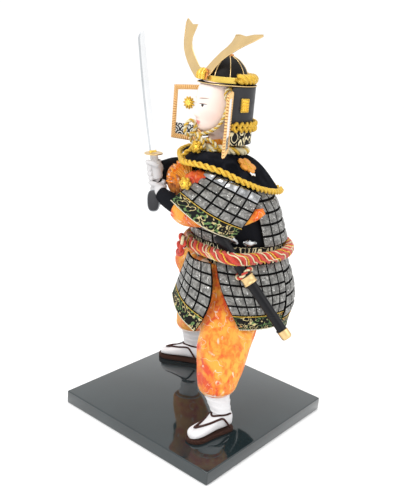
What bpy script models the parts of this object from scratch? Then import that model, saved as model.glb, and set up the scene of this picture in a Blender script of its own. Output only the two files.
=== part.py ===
"""Japanese warrior costume doll on a lacquered board, in metres, +Z up.

The doll faces -Y, and its left side is +X. The origin is the middle of the board's underside.
"""

import math

import bmesh
import bpy
from mathutils import Matrix, Vector

MM = 0.001

# Driving dimensions, in metres
BASE_SIDE = 0.180
BASE_THICKNESS = 0.013
BASE_TURN = math.radians(45)
BASE_CHAMFER = 0.0012
SEAT = 0.0003
SOLE_LENGTH = 0.0495
SOLE_WIDTH = 0.0195
SOLE_THICKNESS = 0.0032
SOCK_HEIGHT = 0.019
WRAP_HALF_WIDTH = 0.0095
WRAP_HALF_DEPTH = 0.0115
HEM_HEIGHT = 0.040
TROUSER_TOP = 0.152
WAIST_TOP = 0.170
WAIST_LOW = 0.150
WAIST_INSET = 0.0008
SKIRT_TOP = 0.1560
ROPE_HEIGHT = 0.1625
CORE_TOP = 0.2445
CORE_INSET = 0.0030
CUIRASS_THICKNESS = 0.0022
SCALE_RELIEF = 0.0011
SCALE_MARGIN = 0.0011
PANEL_THICKNESS = 0.0018
WAISTBAND_THICKNESS = 0.0024
ROPE_RADIUS = 0.0058
ROPE_PITCH = 0.044
CAPE_THICKNESS = 0.0018
BRAID_RADIUS = 0.0026
HEAD_TURN = math.radians(22)
HEAD_PLACE = (0.002, 0.003)
BOWL_RADIUS = 0.0180
BOWL_HEIGHT = 0.0225
BOWL_WALL = 0.0012
BOWL_BASE = 0.3062
BAND_HEIGHT = 0.0052
BRIM_THICKNESS = 0.0014
BRIM_RADIUS = 0.0256
GUARD_RADIUS = 0.0240
GUARD_BOTTOM = 0.2555
GUARD_WALL = 0.0012
PLATE_WIDTH = 0.0325
PLATE_HEIGHT = 0.0515
PLATE_THICKNESS = 0.0010
PLATE_FRAME = 0.0052
FRAME_THICKNESS = 0.0024
PLATE_TURN = math.radians(35.5)
HORN_TURN = math.radians(30)
HORN_LEAN = 0.30
HORN_THICKNESS = 0.0009
BOSS_HEIGHT = 0.0024
HANDLE_LENGTH = 0.046
HANDLE_RADIUS = 0.0034
SWORD_LEAN = math.radians(10.8)
BLADE_LENGTH = 0.104
BLADE_WIDTH = 0.0068
BLADE_THICKNESS = 0.0015
BLADE_CURVE = 0.0035
GUARD_DISC_RADIUS = 0.0082
GUARD_DISC_THICKNESS = 0.0014
SCABBARD_WIDTH = 0.0092
SCABBARD_THICKNESS = 0.0060
POMPOM_RADIUS = 0.0060
EMBLEM_THICKNESS = 0.0016
CORD_RADIUS = 0.0016

PIECES = "samurai_figurine"
CUTTERS = "cutters"


def mm(*values):
    """A vector from millimetres."""
    return Vector(values) * MM


def clear_scene():
    """Removes the startup objects and makes the two collections."""
    for obj in list(bpy.data.objects):
        bpy.data.objects.remove(obj, do_unlink=True)
    for name in (PIECES, CUTTERS):
        collection = bpy.data.collections.new(name)
        bpy.context.scene.collection.children.link(collection)


def finish(name, color, roughness, metallic=0.0):
    """A Principled material."""
    material = bpy.data.materials.new(name)
    material.use_nodes = True
    shader = material.node_tree.nodes["Principled BSDF"]
    shader.inputs["Base Color"].default_value = (*color, 1.0)
    shader.inputs["Roughness"].default_value = roughness
    shader.inputs["Metallic"].default_value = metallic
    material.diffuse_color = (*color, 1.0)
    return material


def place(obj, material, collection=PIECES):
    """Puts an object in its collection with its material."""
    for old in list(obj.users_collection):
        old.objects.unlink(obj)
    bpy.data.collections[collection].objects.link(obj)
    obj.data.materials.clear()
    obj.data.materials.append(material)
    return obj


def mesh_object(name, bm, material):
    """Makes an object from a bmesh, with its faces pointing out."""
    bmesh.ops.recalc_face_normals(bm, faces=bm.faces)
    mesh = bpy.data.meshes.new(name)
    bm.to_mesh(mesh)
    bm.free()
    obj = bpy.data.objects.new(name, mesh)
    bpy.data.collections[PIECES].objects.link(obj)
    mesh.materials.append(material)
    return obj


def loft(name, rings, material, closed=False):
    """A skin over unlike sections, closed with end faces or into a loop."""
    bm = bmesh.new()
    rows = [[bm.verts.new(point) for point in ring] for ring in rings]
    pairs = list(zip(rows, rows[1:]))
    if closed:
        pairs.append((rows[-1], rows[0]))
    for low, high in pairs:
        count = len(low)
        for i in range(count):
            j = (i + 1) % count
            bm.faces.new((low[i], low[j], high[j], high[i]))
    if not closed:
        bm.faces.new(rows[0])
        bm.faces.new(rows[-1])
    return mesh_object(name, bm, material)


def oval(center, half_x, half_y, count=20, start=0.0):
    """Points of a level oval."""
    points = []
    for i in range(count):
        angle = start + 2 * math.pi * i / count
        points.append(center + Vector((half_x * math.cos(angle), half_y * math.sin(angle), 0.0)))
    return points


def limb(name, stations, material, sides=12):
    """A tube of changing size. Each station is (x, y, z, half width, half height) in millimetres."""
    centers = [mm(*station[:3]) for station in stations]
    rings = []
    for i, station in enumerate(stations):
        ahead = centers[min(i + 1, len(centers) - 1)] - centers[max(i - 1, 0)]
        ahead.normalize()
        across = ahead.cross(Vector((0, 0, 1))).normalized()
        up = across.cross(ahead)
        ring = []
        for k in range(sides):
            angle = 2 * math.pi * k / sides
            offset = across * (station[3] * math.cos(angle)) + up * (station[4] * math.sin(angle))
            ring.append(centers[i] + offset * MM)
        rings.append(ring)
    return loft(name, rings, material)


def curve_object(name, points, radius, material, cyclic=False, resolution=2, tilt=None, profile=None):
    """A round or profiled tube along points."""
    curve = bpy.data.curves.new(name, "CURVE")
    curve.dimensions = "3D"
    curve.twist_mode = "Z_UP"
    spline = curve.splines.new("POLY")
    spline.points.add(len(points) - 1)
    for i, (target, point) in enumerate(zip(spline.points, points)):
        target.co = (*point, 1.0)
        if tilt:
            target.tilt = tilt * i
    spline.use_cyclic_u = cyclic
    if profile:
        curve.bevel_mode = "OBJECT"
        curve.bevel_object = profile
    else:
        curve.bevel_depth = radius
        curve.bevel_resolution = resolution
    curve.use_fill_caps = not cyclic
    obj = bpy.data.objects.new(name, curve)
    return place(obj, material)


def rope_profile(name, radius, lobes):
    """The cross-section of a twisted rope with so many strands."""
    curve = bpy.data.curves.new(name, "CURVE")
    curve.dimensions = "2D"
    spline = curve.splines.new("POLY")
    count = lobes * 4
    spline.points.add(count - 1)
    for i, target in enumerate(spline.points):
        angle = -2 * math.pi * i / count
        size = radius * (0.80 + 0.20 * math.cos(lobes * angle))
        target.co = (size * math.cos(angle), size * math.sin(angle), 0.0, 1.0)
    spline.use_cyclic_u = True
    obj = bpy.data.objects.new(name, curve)
    bpy.data.collections[CUTTERS].objects.link(obj)
    obj.hide_render = True
    return obj


def rope(name, points, radius, pitch, material, lobes=2, cyclic=True):
    """A twisted rope along points, with whole turns in a loop."""
    count = len(points)
    length = sum((points[(i + 1) % count] - points[i]).length for i in range(count - (not cyclic)))
    turns = max(1, round(length / pitch * lobes)) / lobes
    step = 2 * math.pi * turns / (count if cyclic else count - 1)
    profile = rope_profile(name + "_profile", radius, lobes)
    return curve_object(name, points, radius, material, cyclic, tilt=step, profile=profile)


def outline_plate(name, loops, thickness, material, matrix):
    """A flat plate from outlines in millimetres; the loops after the first are holes."""
    curve = bpy.data.curves.new(name, "CURVE")
    curve.dimensions = "2D"
    curve.fill_mode = "BOTH"
    curve.extrude = thickness / 2
    for loop in loops:
        spline = curve.splines.new("POLY")
        spline.points.add(len(loop) - 1)
        for target, (u, v) in zip(spline.points, loop):
            target.co = (u * MM, v * MM, 0.0, 1.0)
        spline.use_cyclic_u = True
    obj = bpy.data.objects.new(name, curve)
    obj.matrix_world = matrix
    return place(obj, material)


def frame_matrix(origin, u, v):
    """A matrix whose X and Y axes are u and v."""
    x = Vector(u).normalized()
    z = x.cross(Vector(v)).normalized()
    y = z.cross(x)
    matrix = Matrix((x, y, z)).transposed().to_4x4()
    matrix.translation = origin
    return matrix


def scale_panel(name, surface, columns, rows, thickness, material, plain_rows=1):
    """A quilted panel: a slab on a surface with a raised scale in each cell, and a plain hem.

    surface(u, v) gives a point and its outward normal, with v from the top to the hem.
    """
    bm = bmesh.new()
    bmesh.ops.create_grid(bm, x_segments=columns, y_segments=rows + plain_rows, size=0.5)
    normals = {}
    for vert in bm.verts:
        point, normal = surface(vert.co.x + 0.5, 0.5 - vert.co.y)
        vert.co = point
        normals[vert.index] = normal
    bm.verts.index_update()
    outer = list(bm.faces)
    cells = [face for i, face in enumerate(outer) if i // columns >= plain_rows]
    back = bmesh.ops.duplicate(bm, geom=list(bm.verts) + list(bm.faces))
    pairs = back["vert_map"]
    order = {vert: i for i, vert in enumerate(list(bm.verts))}
    front_verts = [vert for vert in order if vert in pairs and order[vert] < order[pairs[vert]]]
    for vert in front_verts:
        pairs[vert].co = vert.co - normals[vert.index] * thickness
    rim = [edge for edge in bm.edges if edge.is_boundary]
    front_rim = [edge for edge in rim if edge.verts[0] in front_verts and edge.verts[1] in front_verts]
    for edge in front_rim:
        a, b = edge.verts
        bm.faces.new((a, b, pairs[b], pairs[a]))
    bmesh.ops.recalc_face_normals(bm, faces=bm.faces)
    if cells[0].normal.dot(surface(0.5, 0.5)[1]) < 0:
        bmesh.ops.reverse_faces(bm, faces=bm.faces)
    bmesh.ops.inset_individual(bm, faces=cells, thickness=SCALE_MARGIN, depth=SCALE_RELIEF)
    return mesh_object(name, bm, material)


def clear_of(obj, others, gap=SEAT):
    """Cuts the neighbours, swollen by a gap, out of an object."""
    graph = bpy.context.evaluated_depsgraph_get()
    for other in others:
        mesh = bpy.data.meshes.new_from_object(other.evaluated_get(graph))
        cutter = bpy.data.objects.new("cut_" + obj.name + "_" + other.name, mesh)
        cutter.matrix_world = other.matrix_world
        bpy.data.collections[CUTTERS].objects.link(cutter)
        cutter.hide_render = True
        cutter.display_type = "WIRE"
        bm = bmesh.new()
        bm.from_mesh(mesh)
        bmesh.ops.remove_doubles(bm, verts=bm.verts, dist=0.00001)
        bmesh.ops.recalc_face_normals(bm, faces=bm.faces)
        bm.normal_update()
        for vert in bm.verts:
            vert.co += vert.normal * gap * 1.3
        bm.to_mesh(mesh)
        bm.free()
        cut = obj.modifiers.new(cutter.name, "BOOLEAN")
        cut.operation = "DIFFERENCE"
        cut.object = cutter
    return obj


def as_cutter(obj):
    """Moves an object to the cutters' collection."""
    bpy.data.collections[PIECES].objects.unlink(obj)
    bpy.data.collections[CUTTERS].objects.link(obj)
    obj.hide_render = True
    obj.display_type = "WIRE"
    return obj


def cut_by(obj, cutter):
    """Cuts a cutter's whole form out of an object."""
    cut = obj.modifiers.new(cutter.name, "BOOLEAN")
    cut.operation = "DIFFERENCE"
    cut.object = cutter
    return obj


def join_to(obj, other):
    """Makes a small curve piece one solid with its carrier."""
    bpy.context.view_layer.update()
    obj, other = as_mesh(obj), as_mesh(other)
    join = obj.modifiers.new("join", "BOOLEAN")
    join.operation = "UNION"
    join.object = as_cutter(other)
    return obj


def as_mesh(obj):
    """Turns a curve object into a welded mesh object."""
    graph = bpy.context.evaluated_depsgraph_get()
    mesh = bpy.data.meshes.new_from_object(obj.evaluated_get(graph))
    bm = bmesh.new()
    bm.from_mesh(mesh)
    bmesh.ops.remove_doubles(bm, verts=bm.verts, dist=0.00001)
    bmesh.ops.recalc_face_normals(bm, faces=bm.faces)
    bm.to_mesh(mesh)
    bm.free()
    name = obj.name
    matrix = obj.matrix_world.copy()
    bpy.data.objects.remove(obj, do_unlink=True)
    made = bpy.data.objects.new(name, mesh)
    made.matrix_world = matrix
    bpy.data.collections[PIECES].objects.link(made)
    return made


# Finishes
def finishes():
    """The materials of the doll."""
    return {
        "lacquer": finish("black_lacquer", (0.012, 0.011, 0.011), 0.12),
        "straw": finish("brown_straw", (0.12, 0.05, 0.025), 0.7),
        "strap": finish("dark_strap", (0.05, 0.02, 0.015), 0.7),
        "white": finish("white_cotton", (0.85, 0.85, 0.86), 0.8),
        "orange": finish("orange_brocade", (0.90, 0.25, 0.04), 0.55),
        "black": finish("black_cloth", (0.015, 0.015, 0.017), 0.9),
        "scales": finish("grey_scales", (0.22, 0.22, 0.21), 0.5, 0.3),
        "paisley": finish("patterned_black", (0.05, 0.05, 0.035), 0.8),
        "rope": finish("red_rope", (0.75, 0.06, 0.03), 0.5),
        "skin": finish("ivory_skin", (0.90, 0.74, 0.68), 0.4),
        "steel": finish("bright_foil", (0.85, 0.87, 0.88), 0.15, 1.0),
        "gold": finish("gold_braid", (0.85, 0.52, 0.08), 0.45, 0.3),
        "pale_gold": finish("pale_gold", (0.83, 0.66, 0.33), 0.3, 0.9),
        "wrap": finish("handle_wrap", (0.6, 0.6, 0.6), 0.6),
        "gloss": finish("gloss_black", (0.015, 0.015, 0.018), 0.3),
        "velvet": finish("black_velvet", (0.010, 0.010, 0.012), 1.0),
        "cream": finish("cream_cord", (0.86, 0.78, 0.50), 0.5),
        "braid": finish("orange_braid", (0.86, 0.42, 0.10), 0.5),
        "plate": finish("white_plate", (0.86, 0.85, 0.84), 0.5),
    }


# Base and feet
def add_base(mat):
    """The square board, turned so that a corner points forwards."""
    bpy.ops.mesh.primitive_cube_add(size=1.0, location=(0, 0, BASE_THICKNESS / 2), rotation=(0, 0, BASE_TURN))
    board = bpy.context.object
    board.name = "base_board"
    board.scale = (BASE_SIDE, BASE_SIDE, BASE_THICKNESS)
    bpy.ops.object.transform_apply(location=False, rotation=False, scale=True)
    edge = board.modifiers.new("chamfer", "BEVEL")
    edge.width = BASE_CHAMFER
    edge.segments = 2
    return place(board, mat["lacquer"])


# Each foot: heel and toe on the board, in millimetres
FEET = {
    "left": ((56.5, 27.0), (84.0, -14.0)),
    "right": ((-70.2, 12.7), (-84.9, -34.6)),
}


def foot_axes(side):
    """The heel point, the direction to the toe and the direction to the doll's left."""
    heel, toe = (mm(*point, 0) for point in FEET[side])
    ahead = (toe - heel).normalized()
    return heel, ahead, Vector((-ahead.y, ahead.x, 0))


def sole_outline():
    """Half widths of the sole along its length, as shares of the length and width."""
    shares = ((0.0, 0.20), (0.03, 0.36), (0.10, 0.44), (0.30, 0.42), (0.50, 0.43), (0.72, 0.50),
              (0.88, 0.44), (0.96, 0.30), (1.0, 0.12))
    right = [(SOLE_LENGTH * a / MM, SOLE_WIDTH * b / MM) for a, b in shares]
    left = [(a, -b) for a, b in reversed(right)]
    return right + left


def add_foot(side, mat):
    """Sole, sock, straps and leg wrap of one foot."""
    heel, ahead, left = foot_axes(side)
    floor = SEAT
    middle = heel + Vector((0, 0, floor + SOLE_THICKNESS / 2))
    sole = outline_plate(side + "_sandal_sole", [sole_outline()], SOLE_THICKNESS, mat["straw"],
                         frame_matrix(middle, ahead, left))
    sock_floor = floor + SOLE_THICKNESS + SEAT
    rings = []
    shares = (
        (0.05, 0.22, 0.55), (0.08, 0.33, 0.92), (0.20, 0.36, 1.0), (0.36, 0.35, 1.0), (0.47, 0.35, 0.74),
        (0.60, 0.38, 0.58), (0.75, 0.41, 0.46), (0.86, 0.38, 0.38), (0.93, 0.26, 0.30),
    )
    for along, wide, tall in shares:
        center = heel + ahead * (SOLE_LENGTH * along) + Vector((0, 0, sock_floor))
        ring = []
        for k in range(12):
            angle = 2 * math.pi * k / 12
            across = SOLE_WIDTH * wide * math.cos(angle)
            height = SOCK_HEIGHT * tall * max(0.0, 0.5 + 0.56 * math.sin(angle))
            ring.append(center + left * across + Vector((0, 0, min(height, SOCK_HEIGHT * tall))))
        rings.append(ring)
    sock = loft(side + "_sock", rings, mat["white"])
    sock.modifiers.new("weld", "WELD").merge_threshold = 0.00001
    add_straps(side, heel, ahead, left, sock_floor, mat)
    ankle = heel + ahead * (SOLE_LENGTH * 0.27)
    add_leg_wrap(side, ankle, sock_floor + SOCK_HEIGHT + SEAT, mat)
    return sole


def add_straps(side, heel, ahead, left, floor, mat):
    """The forked strap, from between the toes round both sides of the foot."""
    reach = (
        (0.08, 0.44, 0.13), (0.30, 0.44, 0.30), (0.45, 0.40, 0.55), (0.60, 0.26, 0.62), (0.74, 0.06, 0.50),
        (0.60, -0.26, 0.62), (0.45, -0.40, 0.55), (0.30, -0.44, 0.30), (0.08, -0.44, 0.13),
    )
    points = []
    for along, across, tall in reach:
        side_step = left * (SOLE_WIDTH * across)
        height = Vector((0, 0, floor + SOCK_HEIGHT * tall))
        points.append(heel + ahead * (SOLE_LENGTH * along) + side_step + height)
    strap = curve_object(side + "_sandal_straps", points, 0.0013, mat["strap"])
    strap = as_mesh(strap)
    strap.data.materials.append(mat["strap"])
    sock = bpy.data.objects[side + "_sock"]
    sole = bpy.data.objects[side + "_sandal_sole"]
    clear_of(sock, [strap])
    clear_of(strap, [sole])


# Centre line of each leg wrap at the hem, in millimetres
HEM_CENTRES = {"left": (60.5, 10.0), "right": (-71.5, -1.0)}


def add_leg_wrap(side, ankle, floor, mat):
    """The white wrap from the sock up to the trouser hem."""
    top = mm(*HEM_CENTRES[side], 0)
    rings = []
    height = HEM_HEIGHT - SEAT
    for share, swell in ((0.0, 0.80), (0.35, 0.88), (0.7, 1.0), (1.0, 1.05)):
        center = ankle.lerp(top, share)
        center.z = floor + (height - floor) * share
        rings.append(oval(center, WRAP_HALF_WIDTH * swell, WRAP_HALF_DEPTH * swell, 14))
    return loft(side + "_leg_wrap", rings, mat["white"])


# Trouser leg sections: height, then centre x, centre y, half width and half depth, in millimetres.
# The heights are above the board.
LEFT_LEG = (
    (40, 60.5, 10, 13.5, 14.0),
    (46, 60.0, 11, 16.5, 17.0),
    (62, 57.0, 13, 18.0, 20.5),
    (80, 52.0, 14, 17.5, 23.0),
    (92, 45.5, 18.5, 14.0, 25.0),
    (108, 36.5, 19, 13.5, 30.5),
    (124, 28.0, 17, 18.5, 35.5),
    (139, 20.5, 17, 22.5, 37.0),
    (152, 19.0, 23, 23.0, 33.0),
)
RIGHT_LEG = (
    (40, -71.5, -1, 13.5, 14.5),
    (46, -71.0, -1, 16.5, 17.5),
    (62, -66.0, 2, 19.0, 20.5),
    (80, -57.0, 6, 18.0, 23.0),
    (92, -46.5, 11, 15.5, 26.5),
    (108, -35.0, 14, 15.5, 33.0),
    (124, -27.0, 12, 18.5, 39.0),
    (139, -20.0, 12, 22.0, 39.0),
    (152, -19.0, 23, 23.0, 33.0),
)


def leg_rings(sections, folds):
    """Rings of one trouser leg, with soft pleats running down it."""
    rings = []
    for height, x, y, half_x, half_y in sections:
        ring = []
        for k in range(16):
            angle = 2 * math.pi * k / 16
            pleat = 1.0 + (0.035 if k % 2 else -0.02) * folds
            offset = Vector((half_x * pleat * math.cos(angle), half_y * pleat * math.sin(angle), 0))
            ring.append(mm(x, y, height) + offset * MM)
        rings.append(ring)
    return rings


def add_trousers(mat):
    """One garment: two pleated legs joined at the hips."""
    left = loft("trousers", leg_rings(LEFT_LEG, 1.0), mat["orange"])
    right = loft("right_leg_half", leg_rings(RIGHT_LEG, 1.0), mat["orange"])
    join = left.modifiers.new("join", "BOOLEAN")
    join.operation = "UNION"
    join.object = as_cutter(right)
    return left


# Torso sections of the armour's outer face: height above the board, centre y, half width, half depth, in mm
TORSO = (
    (153, 27, 41, 39),
    (171, 27, 45, 44.5),
    (187, 23, 45, 43),
    (201, 19, 45, 42),
    (213, 13, 43, 40.5),
    (223, 9, 38, 33),
    (232, 6, 30, 24),
    (240, 4, 24, 20),
    (245, 3, 20, 17),
)


def torso_at(height):
    """Centre y, half width and half depth of the torso at a height above the board, in metres."""
    level = height / MM
    for low, high in zip(TORSO, TORSO[1:]):
        if level <= high[0]:
            break
    share = min(1.0, max(0.0, (level - low[0]) / (high[0] - low[0])))
    return tuple((a + (b - a) * share) * MM for a, b in zip(low[1:], high[1:]))


def torso_ring(height, inset, count=28):
    """A ring of the torso, this far inside the armour's face."""
    center, half_x, half_y = torso_at(height)
    return oval(Vector((0, center, height)), half_x - inset, half_y - inset, count)


def torso_surface(low, high, start, end):
    """The surface function of an armour plate between two heights and two angles."""

    def surface(u, v):
        angle = start + (end - start) * u
        height = high + (low - high) * v
        center, half_x, half_y = torso_at(height)
        point = Vector((half_x * math.cos(angle), center + half_y * math.sin(angle), height))
        normal = Vector((math.cos(angle) / half_x, math.sin(angle) / half_y, 0)).normalized()
        return point, normal

    return surface


def waist_ring(inset, height, count=32):
    """A ring round the waist, this far inside the lowest torso section."""
    center, half_x, half_y = torso_at(TORSO[0][0] * MM)
    return oval(Vector((0, center, height)), half_x - inset, half_y - inset, count)


def add_torso(mat):
    """The stuffed core and the armour plates on it."""
    waist = [waist_ring(WAIST_INSET + SEAT * 2, height, 28) for height in (TROUSER_TOP + SEAT, WAIST_TOP)]
    heights = [0.176, 0.187, 0.201, 0.213, 0.223, 0.232, 0.240, CORE_TOP]
    core = loft("body_core", waist + [torso_ring(height, CORE_INSET) for height in heights], mat["black"])
    low = WAIST_TOP + SEAT
    face = torso_surface(low, 0.221, math.radians(22), math.radians(158))
    back = scale_panel("cuirass_back", face, 9, 5, CUIRASS_THICKNESS, mat["scales"], plain_rows=0)
    face = torso_surface(low, 0.216, math.radians(202), math.radians(338))
    front = scale_panel("cuirass_front", face, 8, 5, CUIRASS_THICKNESS, mat["scales"], plain_rows=0)
    return core, back, front


def add_torso_clearance(mat):
    """The room that the armoured torso takes, for cutting whatever leans on it."""
    heights = [0.168] + [row[0] * MM for row in TORSO[2:]]
    rings = [torso_ring(height, -SCALE_RELIEF - SEAT * 1.5, 32) for height in heights]
    return as_cutter(loft("torso_clearance", rings, mat["black"]))


# Where the scabbard starts and ends, in millimetres above the board
SCABBARD_TOP = (46.5, 1.4, 182.0)
SCABBARD_END = (74.5, 66.3, 100.1)


def add_waist(mat):
    """The patterned waistband, the rope belt over it and the belt's front knot."""
    inner = WAIST_INSET
    outer = inner - WAISTBAND_THICKNESS
    loops = [waist_ring(inner, WAIST_LOW), waist_ring(outer, WAIST_LOW),
             waist_ring(outer, WAIST_TOP), waist_ring(inner, WAIST_TOP)]
    band = loft("waistband", loops, mat["paisley"], closed=True)
    center, half_x, half_y = torso_at(TORSO[0][0] * MM)
    reach = ROPE_RADIUS + SEAT - outer
    points = []
    for i in range(56):
        angle = 2 * math.pi * i / 56
        off = (math.degrees(angle) + 199) % 360 - 180
        lift = 0.0198 * math.exp(-(off / 20) ** 2)
        points.append(Vector(((half_x + reach + lift) * math.cos(angle),
                              center + (half_y + reach) * math.sin(angle), ROPE_HEIGHT + lift * 0.22)))
    belt = rope("rope_belt", points, ROPE_RADIUS, ROPE_PITCH, mat["rope"])
    knot = []
    front = center - half_y - reach - ROPE_RADIUS - 0.0031
    for i in range(12):
        angle = 2 * math.pi * i / 12
        knot.append(Vector((0.016 + 0.0085 * math.cos(angle), front + 0.0022 + 0.0006 * math.cos(angle * 2),
                            ROPE_HEIGHT + 0.0055 * math.sin(angle))))
    tie = curve_object("belt_knot", knot, 0.0027, mat["rope"], cyclic=True)
    return band, belt, tie


# Armour skirt. Angles go round from the doll's left side to its back, in degrees:
# the front and rear ends at the top, then at the hem, the hem's height above the board in mm,
# the columns of scales, and how far the hem turns in again in mm.
SKIRTS = {
    "skirt_left": (-33, 50, -1, 43, 99, 7, 0.5),
    "skirt_back": (52, 128, 45.5, 134.5, 88, 8, 4.0),
    "skirt_right": (130, 213, 137, 181, 99, 7, 0.5),
}
# Front panels: inner top, outer top, outer hem and inner hem corners, in millimetres above the board
FRONT_LEFT = ((14, -20.5, 155.0), (44, -2.5, 155.0), (54, -13.0, 94.0), (6, -31.5, 110.5))
FRONT_RIGHT = ((-45.2, 0.0, 155.0), (-27.2, -16.5, 155.0), (-42.2, -19.5, 110.0), (-59.2, -15.5, 93.0))


def skirt_surface(ends):
    """The flared surface of one side or back panel of the skirt."""
    top_start, top_end, low_start, low_end, hem, _, tuck = ends

    def surface(u, v):
        high = top_start + (top_end - top_start) * u
        low = low_start + (low_end - low_start) * u
        angle = math.radians(high + (low - high) * v)
        swing = 13.3 * math.sin(min(1.0, v / 0.65) * math.pi / 2) - tuck * max(0.0, v - 0.65) / 0.35
        center, half_x, half_y = torso_at(TORSO[0][0] * MM)
        point = Vector(((half_x + (4.4 + swing) * MM) * math.cos(angle),
                        center + (half_y + (5.7 + swing) * MM) * math.sin(angle),
                        SKIRT_TOP + (hem * MM - SKIRT_TOP) * v))
        return point, Vector((math.cos(angle), math.sin(angle), 0.0))

    return surface


def patch_surface(corners, bulge, toward, side_push=(0, 0, 0), side=1, low_push=(0, 0, 0)):
    """A four-cornered patch, pushed out in its middle, with one side and the hem pushed out too."""
    a, b, c, d = (mm(*corner) for corner in corners)
    out = Vector(toward).normalized()

    def surface(u, v):
        point = a.lerp(b, u).lerp(d.lerp(c, u), v)
        top, low = bulge
        point += out * MM * (top + (low - top) * v) * math.sin(math.pi * u)
        point += mm(*side_push) * math.sin(math.pi * v) * (u if side else 1 - u)
        point += mm(*low_push) * math.sin(math.pi * u) * v
        return point, out

    return surface


def add_skirt(mat):
    """The five panels of quilted scales below the belt."""
    panels = []
    for name, ends in SKIRTS.items():
        panels.append(scale_panel(name, skirt_surface(ends), ends[5], 5, PANEL_THICKNESS, mat["scales"]))
    left = patch_surface(FRONT_LEFT, (7, 6), (0.62, -0.78, 0.0), (7, 6, 0))
    panels.append(scale_panel("skirt_front_left", left, 4, 5, PANEL_THICKNESS, mat["scales"]))
    right = patch_surface(FRONT_RIGHT, (3, 4), (-0.62, -0.78, 0.0), (-2, -4, 0), 1)
    panels.append(scale_panel("skirt_front_right", right, 4, 5, PANEL_THICKNESS, mat["scales"]))
    return panels


# Arms, in millimetres above the board
LEFT_PANEL = ((36, -12.0, 236.0), (41.5, 36.5, 217.0), (54, 16.0, 179.5), (25, -40.0, 204.5))
RIGHT_PANEL = ((-43.5, 36.5, 217.0), (-41, -12.0, 236.0), (-53, -27.0, 197.0), (-56, 12.0, 180.5))
LEFT_SLEEVE = (
    (46.5, 38, 204.8, 3.0, 3.4), (44.8, 30, 200.3, 3.8, 5.4), (43.2, 16, 196, 5.6, 7.8), (40.2, 2, 195, 7.8, 9.8),
    (36.6, -10, 195, 8.8, 9.8), (28.8, -25, 194, 9.3, 10.8), (22.3, -33, 197.2, 8.3, 9.2),
)
RIGHT_SLEEVE = (
    (-40, 21, 208, 5, 5), (-42.5, 12, 204, 7, 8), (-43.5, 0, 202, 8.5, 9.5), (-41, -12, 204, 8.5, 10.5),
    (-36.5, -20.5, 210, 9, 11.5),
)
LEFT_CUFF = ((25.5, -29.5, 196.5, 5.6, 6.2), (21.4, -34.8, 198.7, 7.0, 7.6), (15, -42, 202.5, 7.4, 7.8),
             (8.5, -48.4, 206, 5.6, 6.4))
RIGHT_CUFF = ((-37.2, -23.2, 213.6, 12, 15), (-24, -36, 219.5, 10.5, 14), (-9, -50, 224, 6.5, 8))
LEFT_HAND = ((9.2, -47.6, 206.6, 4.6, 5.4), (4.5, -49.5, 207.4, 6.2, 7.2), (-2.5, -50.5, 207.4, 6.6, 7.4),
             (-6.5, -50.6, 207.2, 4.0, 5.6))
RIGHT_HAND = ((-8.2, -50.8, 224.4, 5.0, 5.8), (-4.5, -55.0, 225.0, 7.0, 9.0), (0.5, -57.4, 225.4, 7.6, 9.4),
              (4.5, -57.6, 225.6, 7.0, 9.0), (7.2, -57.0, 225.6, 4.6, 7.0))


def add_arms(mat):
    """Sleeves, scale panels, cuffs and hands."""
    made = {}
    left = patch_surface(LEFT_PANEL, (11, 20), (1.0, -0.1, 0.25), (5, 1, 0), 1, (0, 0, -5))
    made["left_panel"] = scale_panel("left_arm_panel", left, 5, 4, PANEL_THICKNESS, mat["scales"])
    right = patch_surface(RIGHT_PANEL, (12, 19), (-1.0, -0.1, 0.25), (-4, 1, 0), 0, (0, 0, -5))
    made["right_panel"] = scale_panel("right_arm_panel", right, 5, 4, PANEL_THICKNESS, mat["scales"])
    made["left_sleeve"] = limb("left_sleeve", LEFT_SLEEVE, mat["orange"], 14)
    made["right_sleeve"] = limb("right_sleeve", RIGHT_SLEEVE, mat["orange"], 14)
    made["left_cuff"] = limb("left_cuff", LEFT_CUFF, mat["black"])
    made["right_cuff"] = limb("right_cuff", RIGHT_CUFF, mat["black"])
    made["left_hand"] = limb("left_hand", LEFT_HAND, mat["white"])
    made["right_hand"] = limb("right_hand", RIGHT_HAND, mat["white"])
    return made


def add_hand_guard(mat):
    """The rounded plate on the back of the left hand."""
    outline = []
    for i in range(16):
        angle = 2 * math.pi * i / 16
        outline.append((5.2 * math.copysign(abs(math.cos(angle)) ** 0.7, math.cos(angle)),
                        9.2 * math.copysign(abs(math.sin(angle)) ** 0.7, math.sin(angle))))
    matrix = frame_matrix(mm(10.5, -54.5, 199.5), (0.25, 0.95, 0.15), (-0.25, 0.2, 0.95))
    return outline_plate("left_hand_guard", [outline], 0.0016, mat["gloss"], matrix)


def add_robe_front(mat):
    """The puff of brocade under-robe between the arms."""
    bpy.ops.mesh.primitive_uv_sphere_add(segments=16, ring_count=10, radius=1.0)
    puff = bpy.context.object
    puff.name = "robe_front"
    puff.scale = mm(13.5, 9.5, 15.0)
    puff.location = mm(0.0, -33.0, 217.0)
    puff.rotation_euler = (math.radians(14), 0, 0)
    bpy.ops.object.transform_apply(location=False, rotation=False, scale=True)
    return place(puff, mat["orange"])


# Sword: the middle of the guard, in millimetres above the board
SWORD_PLACE = (0.0, -56.6, 240.0)


def sword_matrix():
    """Places the sword: its local Z runs up the blade, and its edge faces forwards."""
    return Matrix.Translation(mm(*SWORD_PLACE)) @ Matrix.Rotation(SWORD_LEAN, 4, "X")


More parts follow.
